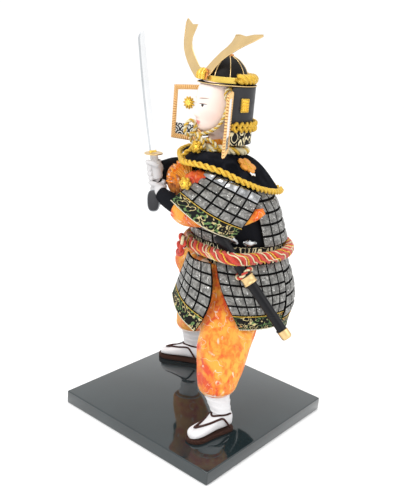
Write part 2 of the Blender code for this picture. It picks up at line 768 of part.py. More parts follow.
def add_sword(mat):
    """Blade, guard and handle."""
    matrix = sword_matrix()
    low = GUARD_DISC_THICKNESS / 2 + SEAT * 3
    rings = []
    for share in (0.0, 0.15, 0.3, 0.45, 0.6, 0.75, 0.88, 0.95, 0.995):
        bend = BLADE_CURVE * share * share
        width = BLADE_WIDTH * (1.0 - 0.12 * share) * (1.0 if share < 0.9 else (1.02 - share) * 8.5)
        edge = -BLADE_WIDTH / 2 + bend + (0.0 if share < 0.9 else (share - 0.9) * 0.022)
        back = edge + width
        half = BLADE_THICKNESS / 2 * (1.0 if share < 0.9 else (1.03 - share) * 7)
        z = low + BLADE_LENGTH * share
        ridge = edge + width * 0.55
        rings.append([Vector((0, edge, z)), Vector((half, ridge, z)), Vector((half * 0.8, back, z)),
                      Vector((-half * 0.8, back, z)), Vector((-half, ridge, z))])
    blade = loft("sword_blade", rings, mat["steel"])
    blade.matrix_world = matrix
    bpy.ops.mesh.primitive_cylinder_add(vertices=28, radius=GUARD_DISC_RADIUS, depth=GUARD_DISC_THICKNESS)
    disc = bpy.context.object
    disc.name = "sword_guard"
    disc.matrix_world = matrix @ Matrix.Rotation(math.radians(-8), 4, "X")
    edge = disc.modifiers.new("round", "BEVEL")
    edge.width = 0.0004
    edge.segments = 1
    place(disc, mat["pale_gold"])
    top = -GUARD_DISC_THICKNESS / 2 - SEAT - GUARD_DISC_RADIUS * math.sin(math.radians(8)) * 0.5
    sections = []
    for share, wide in ((0.0, 1.05), (0.05, 1.05), (0.07, 0.95), (0.5, 0.9), (0.94, 1.0), (1.0, 0.9)):
        center = Vector((0, 0, top - HANDLE_LENGTH * share))
        sections.append(oval(center, HANDLE_RADIUS * 0.8 * wide, HANDLE_RADIUS * wide, 12))
    handle = loft("sword_handle", sections, mat["wrap"])
    handle.matrix_world = matrix
    return blade, disc, handle


def scabbard_matrix():
    """Local Z runs from the mouth to the end; local X is the flat side's width."""
    top, end = mm(*SCABBARD_TOP), mm(*SCABBARD_END)
    down = (end - top).normalized()
    flat = Vector((1, 0, 0)) - down * down.x
    flat.normalize()
    wide = down.cross(flat)
    matrix = Matrix((wide, flat, down)).transposed().to_4x4()
    matrix.translation = top
    return matrix, (end - top).length


def add_scabbard(mat):
    """The scabbard tucked under the belt, with its fitting, end cap and cord."""
    matrix, length = scabbard_matrix()
    half_w, half_t = SCABBARD_WIDTH / 2, SCABBARD_THICKNESS / 2
    cap = 0.0085
    body_rings = [oval(Vector((0, 0, z)), half_w * w, half_t * w, 16)
                  for z, w in ((0.0, 1.15), (0.006, 1.12), (0.02, 1.0), (length - cap - SEAT, 0.94))]
    body = loft("scabbard", body_rings, mat["gloss"])
    cap_rings = [oval(Vector((0, 0, length - cap + z)), half_w * w, half_t * w, 16)
                 for z, w in ((0.0, 1.06), (cap * 0.7, 1.06), (cap, 0.8))]
    end = loft("scabbard_end_cap", cap_rings, mat["pale_gold"])
    place_z = 0.043
    inner, outer = 1.0, 1.38
    bands = []
    for z, w in ((0.0, inner), (0.0, outer), (0.008, outer), (0.008, inner)):
        grow = SEAT * 1.4 if w == inner else 0.0
        bands.append(oval(Vector((0, 0, place_z + z)), half_w * w + grow, half_t * w + grow, 16))
    fitting = loft("scabbard_fitting", bands, mat["pale_gold"], closed=True)
    loop = []
    for i in range(14):
        angle = 2 * math.pi * i / 14
        loop.append(Vector(((half_w + 0.0024) * math.cos(angle), (half_t + 0.0024) * math.sin(angle),
                            place_z - 0.0030 + 0.0012 * math.sin(2 * angle))))
    cord = curve_object("scabbard_cord", loop, 0.0017, mat["cream"], cyclic=True)
    for obj in (body, end, fitting, cord):
        obj.matrix_world = matrix
    return body, end, fitting, cord


# Cape
CAPE_INNER = 14.8
# Half of the cape's outer edge from the front middle to the rear, in millimetres above the board
CAPE_EDGE = (
    (0, -28.5, 239.5), (14, -29.0, 240.0), (25, -28.5, 241.0), (33, -25.5, 242.0), (40, -20.0, 243.0),
    (46, -11.0, 242.0), (49.5, 0.0, 239.5), (49.5, 10.5, 234.5), (46, 20.0, 230.0), (39, 30.5, 225.0),
    (29, 41.0, 221.0), (18, 49.5, 218.0), (8, 55.5, 216.2), (0, 58.0, 216.0),
)


def cape_edge(angle):
    """The cape's outer edge at an angle, in metres."""
    way = 1 if math.cos(angle) >= 0 else -1
    from_front = math.degrees(math.atan2(math.sin(angle), abs(math.cos(angle)))) + 90
    position = min(from_front / 180, 0.9999) * (len(CAPE_EDGE) - 1)
    low = int(position)
    point = mm(*CAPE_EDGE[low]).lerp(mm(*CAPE_EDGE[low + 1]), position - low)
    point.x *= way
    return point


def cape_point(angle, share):
    """A point of the cape's upper face between the neck and the edge."""
    inner = Vector((CAPE_INNER * MM * math.cos(angle), (3.0 + CAPE_INNER * math.sin(angle)) * MM,
                    CORE_TOP + SEAT + CAPE_THICKNESS))
    point = inner.lerp(cape_edge(angle), share)
    rear = 0.5 + 0.5 * math.sin(angle)
    point.z += (2.5 + 4.5 * rear) * MM * math.sin(math.pi * share)
    return point


def add_cape(mat):
    """The velvet cape, its edge braid, its emblem and the cord round the neck."""
    count = 28
    upper = []
    for share in (0.0, 0.2, 0.45, 0.75, 1.0):
        upper.append([cape_point(2 * math.pi * i / count, share) for i in range(count)])
    drop = Vector((0, 0, CAPE_THICKNESS))
    lower = [[point - drop for point in ring] for ring in reversed(upper)]
    cape = loft("cape", upper + lower, mat["velvet"], closed=True)
    gap = BRAID_RADIUS + SEAT
    points = []
    for i in range(84):
        angle = 2 * math.pi * i / 84
        point = cape_edge(angle)
        outward = Vector((math.cos(angle), math.sin(angle), -0.25)).normalized()
        points.append(point + outward * gap * 1.25 - drop / 2)
    braid = rope("cape_braid", points, BRAID_RADIUS, 0.022, mat["gold"])
    ring = []
    for i in range(32):
        angle = 2 * math.pi * i / 32
        ring.append(cape_point(angle, 0.20) + Vector((0, 0, 0.0029)))
    collar = rope("collar_cord", ring, 0.0024, 0.018, mat["cream"])
    return cape, braid, collar


def add_emblem(mat):
    """The raised flower on the cape's left shoulder."""
    petals = []
    for i in range(30):
        angle = 2 * math.pi * i / 30
        size = 6.6 + 2.4 * math.cos(5 * angle)
        petals.append((size * math.cos(angle), size * math.sin(angle)))
    angle = math.radians(33)
    center = cape_point(angle, 0.62)
    along = (cape_point(angle + 0.15, 0.62) - cape_point(angle - 0.15, 0.62)).normalized()
    down = (cape_point(angle, 0.85) - cape_point(angle, 0.4)).normalized()
    normal = along.cross(down)
    if normal.z < 0:
        normal = -normal
    center = center + normal * (EMBLEM_THICKNESS / 2 + SEAT)
    return outline_plate("cape_emblem", [petals], EMBLEM_THICKNESS, mat["gold"], frame_matrix(center, along, down))


def add_pompom(name, place_mm, mat):
    """A gold cord knot, flattened like a flower."""
    bpy.ops.mesh.primitive_ico_sphere_add(subdivisions=2, radius=POMPOM_RADIUS, location=mm(*place_mm))
    ball = bpy.context.object
    ball.name = name
    ball.scale = (1.0, 1.0, 0.72)
    bpy.ops.object.transform_apply(location=False, rotation=False, scale=True)
    return place(ball, mat["gold"])


# Head and helmet, in the head's own frame: -Y is forwards, heights are above the board
def head_matrix():
    """The head's turn to its left and its place over the body."""
    return Matrix.Translation(Vector((*HEAD_PLACE, 0))) @ Matrix.Rotation(HEAD_TURN, 4, "Z")


HEAD_SECTIONS = (
    (244.8, -2.0, 8.5, 8.5),
    (259.5, -3.0, 8.5, 9.0),
    (265.0, -8.5, 9.4, 12.6),
    (268.5, -9.2, 12.2, 15.2),
    (274.0, -8.8, 14.4, 17.3),
    (280.0, -8.2, 16.0, 18.8),
    (290.0, -8.0, 16.7, 19.4),
    (298.0, -7.0, 16.5, 19.2),
    (304.2, -5.8, 15.8, 18.4),
    (304.2, 0.0, 15.6, 15.6),
)
BOWL_PROFILE = ((1.0, 0.0), (1.0, 0.12), (0.93, 0.34), (0.78, 0.58), (0.50, 0.82), (0.22, 0.95), (0.0, 1.0))


def add_head(mat):
    """Head and neck, with the crown filling the helmet."""
    rings = []
    for height, y, half_x, half_y in HEAD_SECTIONS:
        base = CORE_TOP + SEAT if height < 245 else height * MM
        ring = []
        for k in range(16):
            angle = 2 * math.pi * k / 16
            nose = 1.0 + (0.07 if k == 12 and 268 < height < 285 else 0.0)
            depth = y + half_y * nose * math.sin(angle)
            ring.append(Vector((half_x * MM * math.cos(angle), depth * MM, base)))
        rings.append(ring)
    for radius, height in BOWL_PROFILE[1:-1]:
        size = (BOWL_RADIUS - BOWL_WALL) * radius - SEAT * 2.2
        z = BOWL_BASE + (BOWL_HEIGHT - BOWL_WALL) * height - SEAT * 2
        rings.append(oval(Vector((0, 0, z)), size, size, 16))
    return loft("head", rings, mat["skin"])


def add_bowl(mat):
    """The peaked helmet bowl, a thin shell turned round its axis."""
    mesh = bpy.data.meshes.new("helmet_bowl")
    outer = [(BOWL_RADIUS * r, BOWL_BASE + BOWL_HEIGHT * h) for r, h in BOWL_PROFILE]
    radius, height = BOWL_RADIUS - BOWL_WALL, BOWL_HEIGHT - BOWL_WALL
    inner = [(radius * r, BOWL_BASE + height * h) for r, h in BOWL_PROFILE]
    profile = list(reversed(outer)) + inner
    verts = [(x, 0, z) for x, z in profile]
    mesh.from_pydata(verts, [(i, i + 1) for i in range(len(verts) - 1)], [])
    bowl = bpy.data.objects.new("helmet_bowl", mesh)
    bpy.data.collections[PIECES].objects.link(bowl)
    bowl.data.materials.append(mat["gloss"])
    turn = bowl.modifiers.new("turn", "SCREW")
    turn.steps = 24
    turn.render_steps = 24
    turn.use_merge_vertices = True
    turn.merge_threshold = 0.00001
    return bowl


def arc_wall(name, radius, wall, low, high, start, end, steps, material):
    """A curved wall: a sheet bent round the vertical axis between two angles, in degrees."""
    rings = []
    for i in range(steps + 1):
        angle = math.radians(start + (end - start) * i / steps)
        out = Vector((math.cos(angle), math.sin(angle), 0))
        foot, top = Vector((0, 0, low)), Vector((0, 0, high))
        rings.append([out * radius + foot, out * (radius + wall) + foot, out * (radius + wall) + top, out * radius + top])
    return loft(name, rings, material)


def add_helmet(mat):
    """Bowl, brim, band, coiled braid, neck guard and its lower braid."""
    bowl = add_bowl(mat)
    brim_top = BOWL_BASE - SEAT
    brim_rings = []
    hole = BOWL_RADIUS - BOWL_WALL
    for z, half in ((0.0, hole), (0.0, BRIM_RADIUS), (BRIM_THICKNESS, BRIM_RADIUS), (BRIM_THICKNESS, hole)):
        brim_rings.append(oval(Vector((0, 0, brim_top - BRIM_THICKNESS + z)), half, half, 32))
    brim = loft("helmet_brim", brim_rings, mat["velvet"], closed=True)
    band_top = BOWL_BASE + BAND_HEIGHT
    band = arc_wall("helmet_band", BOWL_RADIUS + SEAT, 0.0012, BOWL_BASE, band_top, 186, 354, 20, mat["gold"])
    coil = 0.0036
    points = []
    for i in range(34):
        angle = math.radians(-4 + 188 * i / 33)
        points.append(Vector((math.cos(angle), math.sin(angle), 0)) * (BOWL_RADIUS + SEAT + coil)
                      + Vector((0, 0, BOWL_BASE + coil)))
    upper = rope("guard_upper_braid", points, coil, 0.016, mat["gold"], cyclic=False)
    guard_top = brim_top - BRIM_THICKNESS - SEAT
    gloss = mat["gloss"]
    guard = arc_wall("neck_guard", GUARD_RADIUS, GUARD_WALL, GUARD_BOTTOM, guard_top, -16, 196, 26, gloss)
    low = 0.0023
    points = []
    for i in range(40):
        angle = math.radians(-14 + 208 * i / 39)
        points.append(Vector((math.cos(angle), math.sin(angle), 0)) * (GUARD_RADIUS + GUARD_WALL + SEAT + low)
                      + Vector((0, 0, GUARD_BOTTOM + 0.0150)))
    lower = rope("guard_lower_braid", points, low, 0.016, mat["gold"], cyclic=False)
    return bowl, brim, band, upper, guard, lower


def add_side_plate(side, mat):
    """One turned-back plate with its braid frame and flower boss."""
    way = 1 if side == "left" else -1
    angle = math.radians(16)
    hinge = Vector((way * GUARD_RADIUS * math.cos(angle), -GUARD_RADIUS * math.sin(angle), 0))
    ahead = Vector((way * math.cos(PLATE_TURN), -math.sin(PLATE_TURN), 0))
    origin = hinge + ahead * 0.0016 + Vector((0, 0, GUARD_BOTTOM - 0.006))
    matrix = frame_matrix(origin, ahead, (0, 0, 1))
    w, h, f = PLATE_WIDTH / MM, PLATE_HEIGHT / MM, PLATE_FRAME / MM
    gap = SEAT / MM
    slope = 0.0 if side == "left" else 3.0
    outer = [(0, 0), (w, 0), (w, h - slope), (0, h)]
    hole = [(f, f), (f, h - f), (w - f, h - f - slope * 0.7), (w - f, f)]
    frame = outline_plate(side + "_plate_frame", [outer, hole], FRAME_THICKNESS, mat["braid"], matrix)
    low, near, far = f + gap, f + gap, w - f - gap
    inner = [(near, low), (far, low), (far, h - f - slope * 0.7 - gap * 1.2), (near, h - f - gap * 1.2)]
    plate = outline_plate(side + "_side_plate", [inner], PLATE_THICKNESS, mat["plate"], matrix)
    boss = []
    for i in range(24):
        turn = 2 * math.pi * i / 24
        size = 5.0 + (0.7 if i % 2 else 0.0)
        boss.append((size * math.cos(turn), size * math.sin(turn)))
    normal = matrix.to_3x3() @ Vector((0, 0, 1))
    front = normal if normal.y < 0 else -normal
    center = matrix @ (Vector((w * 0.48, h * 0.66, 0)) * MM) + front * (BOSS_HEIGHT / 2)
    flower = outline_plate(side + "_plate_flower", [boss], BOSS_HEIGHT, mat["gold"],
                           frame_matrix(center, ahead, (0, 0, 1)))
    return frame, join_to(plate, flower)


# Horn outlines in their own leaning plane, in millimetres: across to the doll's left, and up
LEFT_HORN = (
    (0.5, 1.5), (6.0, 4.5), (11.2, 12.2), (16.2, 18.2), (22.5, 22.8), (33.5, 29.3), (41.5, 33.2),
    (50.5, 37.0), (59.1, 41.4), (58.5, 42.4), (47.9, 41.7), (38.7, 39.8), (30.2, 40.9), (25.1, 40.6),
    (24.8, 38.5), (23.0, 34.3), (19.5, 30.4), (12.7, 25.1), (5.4, 17.7), (-0.6, 10.5),
)
RIGHT_HORN = (
    (-2.0, 1.5), (-6.5, 0.8), (-12.5, 1.6), (-21.5, 6.8), (-30.2, 12.8), (-37.0, 18.5), (-42.6, 24.4),
    (-46.6, 31.4), (-49.8, 40.3), (-52.0, 47.5), (-51.3, 51.2), (-41.0, 46.0), (-33.4, 46.4),
    (-34.6, 41.2), (-35.6, 35.7), (-34.2, 30.4), (-30.2, 25.0), (-24.4, 20.1), (-18.2, 15.6),
    (-10.5, 10.2), (-2.2, 9.0),
)


def horn_matrix(offset=0.0):
    """The plane of the horns: turned with the head and leaning back."""
    across = Vector((math.cos(HORN_TURN), math.sin(HORN_TURN), 0))
    back = Vector((-math.sin(HORN_TURN), math.cos(HORN_TURN), 0))
    up = (back * HORN_LEAN + Vector((0, 0, 1))).normalized()
    normal = across.cross(up)
    origin = mm(8.2, -18.6, 0) + Vector((0, 0, BOWL_BASE + 0.0005))
    return frame_matrix(origin + normal * offset, across, up)


def add_horns(mat):
    """Two flat horns and the ornament in front of their feet."""
    left = outline_plate("left_horn", [LEFT_HORN], HORN_THICKNESS, mat["pale_gold"], horn_matrix())
    right = outline_plate("right_horn", [RIGHT_HORN], HORN_THICKNESS, mat["pale_gold"], horn_matrix())
    shape = []
    for i in range(13):
        angle = math.pi * i / 12
        size = 6.4 + (0.6 if i % 2 else 0.0)
        shape.append((-0.8 + size * math.cos(angle), 3.6 + 1.1 * size * math.sin(angle)))
    shape += [(-6.8, 0.3), (5.2, 0.3)]
    thick = 0.0030
    ornament = outline_plate("crest_ornament", [shape], thick, mat["gold"],
                             horn_matrix(HORN_THICKNESS / 2 + SEAT + thick / 2))
    return left, right, ornament


def add_chin_cord(mat):
    """The cord from the brim down both cheeks and under the chin."""
    side = (
        (18.4, -6.5, 303.4), (19.0, -7.5, 295.0), (19.0, -9.0, 286.0), (18.4, -11.0, 277.5),
        (16.2, -14.5, 270.0), (11.0, -20.5, 264.6), (5.0, -25.5, 262.2),
    )
    points = [mm(*point) for point in side] + [mm(0, -26.6, 261.8)]
    points += [mm(-x, y, z) for x, y, z in reversed(side)]
    return curve_object("chin_cord", points, CORD_RADIUS, mat["cream"])


def add_under_collar(mat):
    """The standing orange collar round the neck."""
    low, high = CORE_TOP + SEAT, 0.2585
    rings = []
    for z, grow in ((low, 0.5), (low, 1.5), (high, 2.2), (high, 1.2)):
        rings.append(oval(mm(0, -2.6, 0) + Vector((0, 0, z)), (8.5 + grow) * MM, (9.0 + grow) * MM, 20))
    return loft("under_collar", rings, mat["orange"], closed=True)


def shift_everything():
    """Lifts all but the board onto the board's top."""
    for name in (PIECES, CUTTERS):
        for obj in bpy.data.collections[name].objects:
            if obj.name != "base_board":
                obj.matrix_world = Matrix.Translation((0, 0, BASE_THICKNESS)) @ obj.matrix_world


def main():
    """Builds every piece, then cuts the clearances between pieces that press on each other."""
    clear_scene()
    mat = finishes()
    add_base(mat)
    for side in FEET:
        add_foot(side, mat)
    trousers = add_trousers(mat)
    core, back, front = add_torso(mat)
    room = add_torso_clearance(mat)
    band = add_waist(mat)[0]
    add_skirt(mat)
    arms = add_arms(mat)
    guard_plate = add_hand_guard(mat)
    puff = add_robe_front(mat)
    _, disc, handle = add_sword(mat)
    add_scabbard(mat)
    cape = add_cape(mat)[0]
    add_emblem(mat)
    add_pompom("upper_pompom", (20.0, -20.5, 251.4), mat)
    lower_pom = add_pompom("lower_pompom", (33.5, -29.0, 222.0), mat)
    head = add_head(mat)
    helmet = add_helmet(mat)
    plates = [piece for side in ("left", "right") for piece in add_side_plate(side, mat)]
    cord = add_chin_cord(mat)
    under_collar = add_under_collar(mat)
    turned = head_matrix()
    bosses = [obj for obj in bpy.data.collections[CUTTERS].objects if obj.name.endswith("_plate_flower")]
    for obj in (head, cord, under_collar, *helmet, *plates, *bosses):
        obj.matrix_world = turned @ obj.matrix_world
    add_horns(mat)
    bpy.context.view_layer.update()
    clear_of(trousers, [band, core], SEAT * 2)
    clear_of(arms["left_cuff"], [handle, guard_plate, arms["left_panel"]])
    clear_of(arms["right_cuff"], [handle])
    for piece in (arms["right_cuff"], arms["left_sleeve"], arms["right_sleeve"], puff):
        cut_by(piece, room)
    clear_of(lower_pom, [arms["left_panel"]])
    bpy.context.view_layer.update()
    clear_of(arms["left_hand"], [handle, arms["left_cuff"], guard_plate])
    clear_of(arms["right_hand"], [handle, arms["right_cuff"], disc])
    clear_of(arms["left_sleeve"], [arms["left_cuff"], lower_pom])
    clear_of(arms["right_sleeve"], [arms["right_cuff"]])
    bpy.context.view_layer.update()
    clear_of(puff, [arms["left_cuff"], arms["right_cuff"], arms["left_sleeve"], arms["left_panel"]])
    clear_of(core, [back, front, cape])
    shift_everything()


main()
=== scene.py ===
"""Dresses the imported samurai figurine: cloth, cords, armour, face and studio.

Lengths in the tables are millimetres; heights in them are above the board's top unless a name says
otherwise. The doll faces -Y and its left side is +X.
"""

import logging
import math
from dataclasses import dataclass, field
from enum import Enum
from math import cos, exp, pi, radians, sin, sqrt
from typing import Callable, Iterable, Optional, Sequence

import bpy
from mathutils import Matrix, Vector


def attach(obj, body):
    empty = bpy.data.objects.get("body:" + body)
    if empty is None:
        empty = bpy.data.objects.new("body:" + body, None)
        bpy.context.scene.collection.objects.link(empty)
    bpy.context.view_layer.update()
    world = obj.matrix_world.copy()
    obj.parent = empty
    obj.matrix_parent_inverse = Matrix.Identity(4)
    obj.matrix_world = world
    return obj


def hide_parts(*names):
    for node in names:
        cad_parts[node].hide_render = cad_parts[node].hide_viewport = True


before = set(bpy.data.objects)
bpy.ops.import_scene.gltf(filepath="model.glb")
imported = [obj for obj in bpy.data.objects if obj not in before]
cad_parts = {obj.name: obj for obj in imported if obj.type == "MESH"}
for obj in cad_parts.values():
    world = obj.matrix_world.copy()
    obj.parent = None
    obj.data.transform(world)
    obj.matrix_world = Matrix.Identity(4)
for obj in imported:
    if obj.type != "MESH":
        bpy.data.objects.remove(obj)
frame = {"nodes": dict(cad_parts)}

LOG = logging.getLogger("figurine")
MM = 0.001
LIFT = 13.0  # the board's thickness in millimetres
MERGE = 1e-7  # points closer than this, in metres, become one
HEAD_PLACE = (0.002, 0.003, 0.0)
HEAD_TURN = radians(22)
SWORD_PLACE = (0.0, -56.6, 240.0)
SWORD_LEAN = radians(10.8)
WAIST_Y = 27  # the middle of the waist, behind the board's own middle
SKIRT_TOP = 156
FLARE_END = 0.65  # the share of a skirt panel's length where its flare ends and its tuck starts
Row = tuple[float, ...]
Rgb = tuple[float, float, float]
Ring = list[Vector]
Piece = bpy.types.Object
Socket = bpy.types.NodeSocket


class Side(Enum):
    """The doll's own left and right."""

    LEFT = "left"
    RIGHT = "right"

    @property
    def way(self) -> float:
        """Which way this side lies along X."""
        return 1.0 if self is Side.LEFT else -1.0


class Source(Enum):
    """Where a pattern takes its place from."""

    SPACE = "Object"
    CLOTH = "UV"


# Bench tools
def at(x: float, y: float, z: float) -> Vector:
    """A point in metres from millimetres, the height counted from the board's top."""
    return Vector((x, y, z + LIFT)) * MM


def in_frame(matrix: Matrix, x: float, y: float, z: float) -> Vector:
    """A point in metres from millimetres along a matrix's axes."""
    return matrix @ (Vector((x, y, z)) * MM)


def facing(matrix: Matrix) -> Vector:
    """The way that a matrix's Z axis points."""
    return matrix.to_3x3() @ Vector((0, 0, 1))


def angles(count: int) -> list[float]:
    """Evenly spaced angles once round."""
    return [2 * pi * i / count for i in range(count)]


def rounded(share: float) -> float:
    """The taper of a finger, full in its middle and thinner at both ends."""
    return 1.0 - 0.30 * (2 * share - 1) ** 4


def row_at(rows: Sequence[Row], place: float) -> Row:
    """The numbers between two rows of a table, found by the rows' first number."""
    for low, high in zip(rows, rows[1:]):
        if place <= high[0]:
            break
    share = min(1.0, max(0.0, (place - low[0]) / (high[0] - low[0])))
    return tuple(a + (b - a) * share for a, b in zip(low[1:], high[1:]))


def deselect() -> None:
    """Leaves edit mode and clears the selection."""
    if bpy.context.mode != "OBJECT":
        bpy.ops.object.mode_set(mode="OBJECT")
    bpy.ops.object.select_all(action="DESELECT")


def pick(obj: Piece) -> Piece:
    """Makes one object the only selected and active one."""
    deselect()
    obj.select_set(True)
    bpy.context.view_layer.objects.active = obj
    return obj


def apply(obj: Piece, kind: str, **settings: object) -> Piece:
    """Adds a modifier and applies it.

    Args:
        obj: The mesh object.
        kind: Blender's modifier type.
        settings: The modifier's own values.

    Returns:
        The same object.
    """
    pick(obj)
    modifier = obj.modifiers.new(kind.lower(), kind)
    for key, value in settings.items():
        setattr(modifier, key, value)
    bpy.ops.object.modifier_apply(modifier=modifier.name)
    return obj


def soften(obj: Piece) -> Piece:
    """Rounds a mesh by one subdivision."""
    return apply(obj, "SUBSURF", levels=1, render_levels=1)


def shade(obj: Piece, degrees: float = 180.0) -> Piece:
    """Shades a mesh smooth, with edges sharper than an angle kept."""
    pick(obj)
    if degrees >= 180.0:
        bpy.ops.object.shade_smooth()
    else:
        bpy.ops.object.shade_smooth_by_angle(angle=radians(degrees))
    return obj


def outward(obj: Piece, close: bool = False) -> Piece:
    """Merges doubled points, fills open ends where asked and turns every face outwards."""
    pick(obj)
    bpy.ops.object.mode_set(mode="EDIT")
    bpy.ops.mesh.select_all(action="SELECT")
    bpy.ops.mesh.remove_doubles(threshold=MERGE)
    if close:
        bpy.ops.mesh.select_all(action="SELECT")
        bpy.ops.mesh.fill_holes(sides=0)
        bpy.ops.mesh.select_all(action="SELECT")
    bpy.ops.mesh.normals_make_consistent(inside=False)
    bpy.ops.object.mode_set(mode="OBJECT")
    return obj


def laid_grid(name: str, columns: int, rows: int, place: Callable[[float, float], Vector],
              size: tuple[float, float] = (1.0, 1.0), across: Optional[Sequence[float]] = None,
              down: Optional[Sequence[float]] = None) -> Piece:
    """Lays a grid over a surface.

    Args:
        name: The piece's name.
        columns: Faces across.
        rows: Faces from the top to the hem.
        place: Gives the point for u across and v down, both from 0 to 1.
        size: Width and length of the cloth in millimetres, kept in the UV map.
        across: Where the lines across lie, even without.
        down: Where the lines down lie, even without.

    Returns:
        The new object.
    """
    across = across or [i / columns for i in range(columns + 1)]
    down = down or [j / rows for j in range(rows + 1)]
    deselect()
    bpy.ops.mesh.primitive_grid_add(x_subdivisions=columns, y_subdivisions=rows, size=1.0)
    obj = bpy.context.object
    obj.name = obj.data.name = name
    for vert in obj.data.vertices:
        vert.co = place(across[round((vert.co.x + 0.5) * columns)], down[round((vert.co.y + 0.5) * rows)])
    for item in obj.data.uv_layers[0].data:
        item.uv = (across[round(item.uv[0] * columns)] * size[0], down[round(item.uv[1] * rows)] * size[1])
    return obj


def tube(name: str, rings: Sequence[Ring], cyclic: bool = False) -> Piece:
    """Rolls a grid into a tube through unlike rings.

    Args:
        name: The piece's name.
        rings: Rings with the same number of points.
        cyclic: Whether the last ring meets the first; open ends are filled.

    Returns:
        The closed tube, with lengths in millimetres in its UV map.
    """
    sides, count = len(rings[0]), len(rings)
    rows = count if cyclic else count - 1
    girth = sum((rings[count // 2][(i + 1) % sides] - rings[count // 2][i]).length for i in range(sides))
    length = sum((rings[(j + 1) % count][0] - rings[j][0]).length for j in range(rows))
    obj = laid_grid(name, sides, rows,
                    lambda u, v: rings[round(v * rows) % count][round(u * sides) % sides],
                    (girth / MM, length / MM))
    return outward(obj, close=not cyclic)


def blend_rows(rows: Sequence[Row], steps: int, cyclic: bool = False) -> list[Row]:
    """Draws a smooth line through rows of numbers.

    Args:
        rows: The rows that the line passes through.
        steps: How many steps between two rows.
        cyclic: Whether the line closes.

    Returns:
        The finer rows.
    """
    count = len(rows)
    last = count if cyclic else count - 1
    fine = []
    for i in range(last):
        near = [rows[(i + k) % count] if cyclic else rows[min(max(i + k, 0), count - 1)] for k in (-1, 0, 1,
                                                                                                   2)]
        for step in range(steps):
            t = step / steps
            fine.append(tuple(
                0.5 * (2 * b + (c - a) * t + (2 * a - 5 * b + 4 * c - d) * t * t
                       + (3 * b - a - 3 * c + d) * t ** 3)
                for a, b, c, d in zip(*near)))
    if not cyclic:
        fine.append(tuple(rows[-1]))
    return fine


def even_path(points: Sequence[Vector], count: int, cyclic: bool = False) -> list[Vector]:
    """Spaces points evenly along a smooth line through the given ones."""
    dense = [Vector(row) for row in blend_rows([tuple(p) for p in points], 12, cyclic)]
    if cyclic:
        dense.append(dense[0].copy())
    marks = [0.0]
    for a, b in zip(dense, dense[1:]):
        marks.append(marks[-1] + (b - a).length)
    pieces = count if cyclic else count - 1
    path, k = [], 0
    for i in range(count):
        goal = marks[-1] * i / pieces
        while k < len(marks) - 2 and marks[k + 1] < goal:
            k += 1
        span = marks[k + 1] - marks[k]
        path.append(dense[k].lerp(dense[k + 1], (goal - marks[k]) / span if span else 0.0))
    return path


def path_length(path: Sequence[Vector], cyclic: bool = False) -> float:
    """The length of a path in metres."""
    count = len(path)
    return sum((path[(i + 1) % count] - path[i]).length for i in range(count if cyclic else count - 1))


def turned_frames(path: Sequence[Vector], cyclic: bool = False) -> list[tuple[Vector, Vector]]:
    """Two axes across a path at each point, without sudden twist.

    Args:
        path: The points.
        cyclic: Whether the path closes.

    Returns:
        A pair of unit vectors for each point.
    """
    count = len(path)
    tangents = []
    for i in range(count):
        ahead = path[(i + 1) % count] if cyclic or i < count - 1 else path[i]
        behind = path[i - 1] if cyclic or i > 0 else path[i]
        tangents.append((ahead - behind).normalized())
    hint = Vector((0, 0, 1)) if abs(tangents[0].z) < 0.9 else Vector((1, 0, 0))
    side = tangents[0].cross(hint).normalized()
    frames = []
    for tangent in tangents:
        side = (side - tangent * side.dot(tangent)).normalized()
        frames.append((side, tangent.cross(side)))
    if cyclic:
        end = (frames[-1][0] - tangents[0] * frames[-1][0].dot(tangents[0])).normalized()
        slip = math.atan2(end.dot(frames[0][1]), end.dot(frames[0][0]))
        for i, (a, b) in enumerate(frames):
            turn = -slip * i / (count - 1)
            frames[i] = (a * cos(turn) + b * sin(turn), b * cos(turn) - a * sin(turn))
    return frames


def sweep(name: str, path: Sequence[Vector], radius: float, sides: int = 8, cyclic: bool = False,
          flat: float = 1.0, taper: Optional[Callable[[float], float]] = None) -> Piece:
    """A round or flattened strand along a path.

    Args:
        name: The piece's name.
        path: The points of its middle.
        radius: Its radius in metres.
        sides: Points round the strand.
        cyclic: Whether it closes.
        flat: The second half width as a share of the first.
        taper: The radius factor for a share of the length.

    Returns:
        The strand.
    """
    rings = []
    for i, (point, (a, b)) in enumerate(zip(path, turned_frames(path, cyclic))):
        size = radius * (taper(i / max(1, len(path) - 1)) if taper else 1.0)
        ring = []
        for angle in angles(sides):
            ring.append(point + a * (size * cos(angle)) + b * (size * flat * sin(angle)))
        rings.append(ring)
    return tube(name, rings, cyclic)


def join(name: str, pieces: Sequence[Piece]) -> Piece:
    """Joins pieces into one, keeping each one's material."""
    pick(pieces[0])
    for piece in pieces:
        piece.select_set(True)
    bpy.context.view_layer.objects.active = pieces[0]
    if len(pieces) > 1:
        bpy.ops.object.join()
    pieces[0].name = pieces[0].data.name = name
    return pieces[0]


def moved(obj: Piece, matrix: Matrix) -> Piece:
    """Moves a piece's mesh, its object staying at the origin."""
    obj.data.transform(matrix)
    obj.data.update()
    return obj


def plane_matrix(origin: Vector, u: Sequence[float], v: Sequence[float]) -> Matrix:
    """A matrix whose X and Y axes are u and v."""
    x = Vector(u).normalized()
    z = x.cross(Vector(v)).normalized()
    y = z.cross(x)
    matrix = Matrix((x, y, z)).transposed().to_4x4()
    matrix.translation = origin
    return matrix


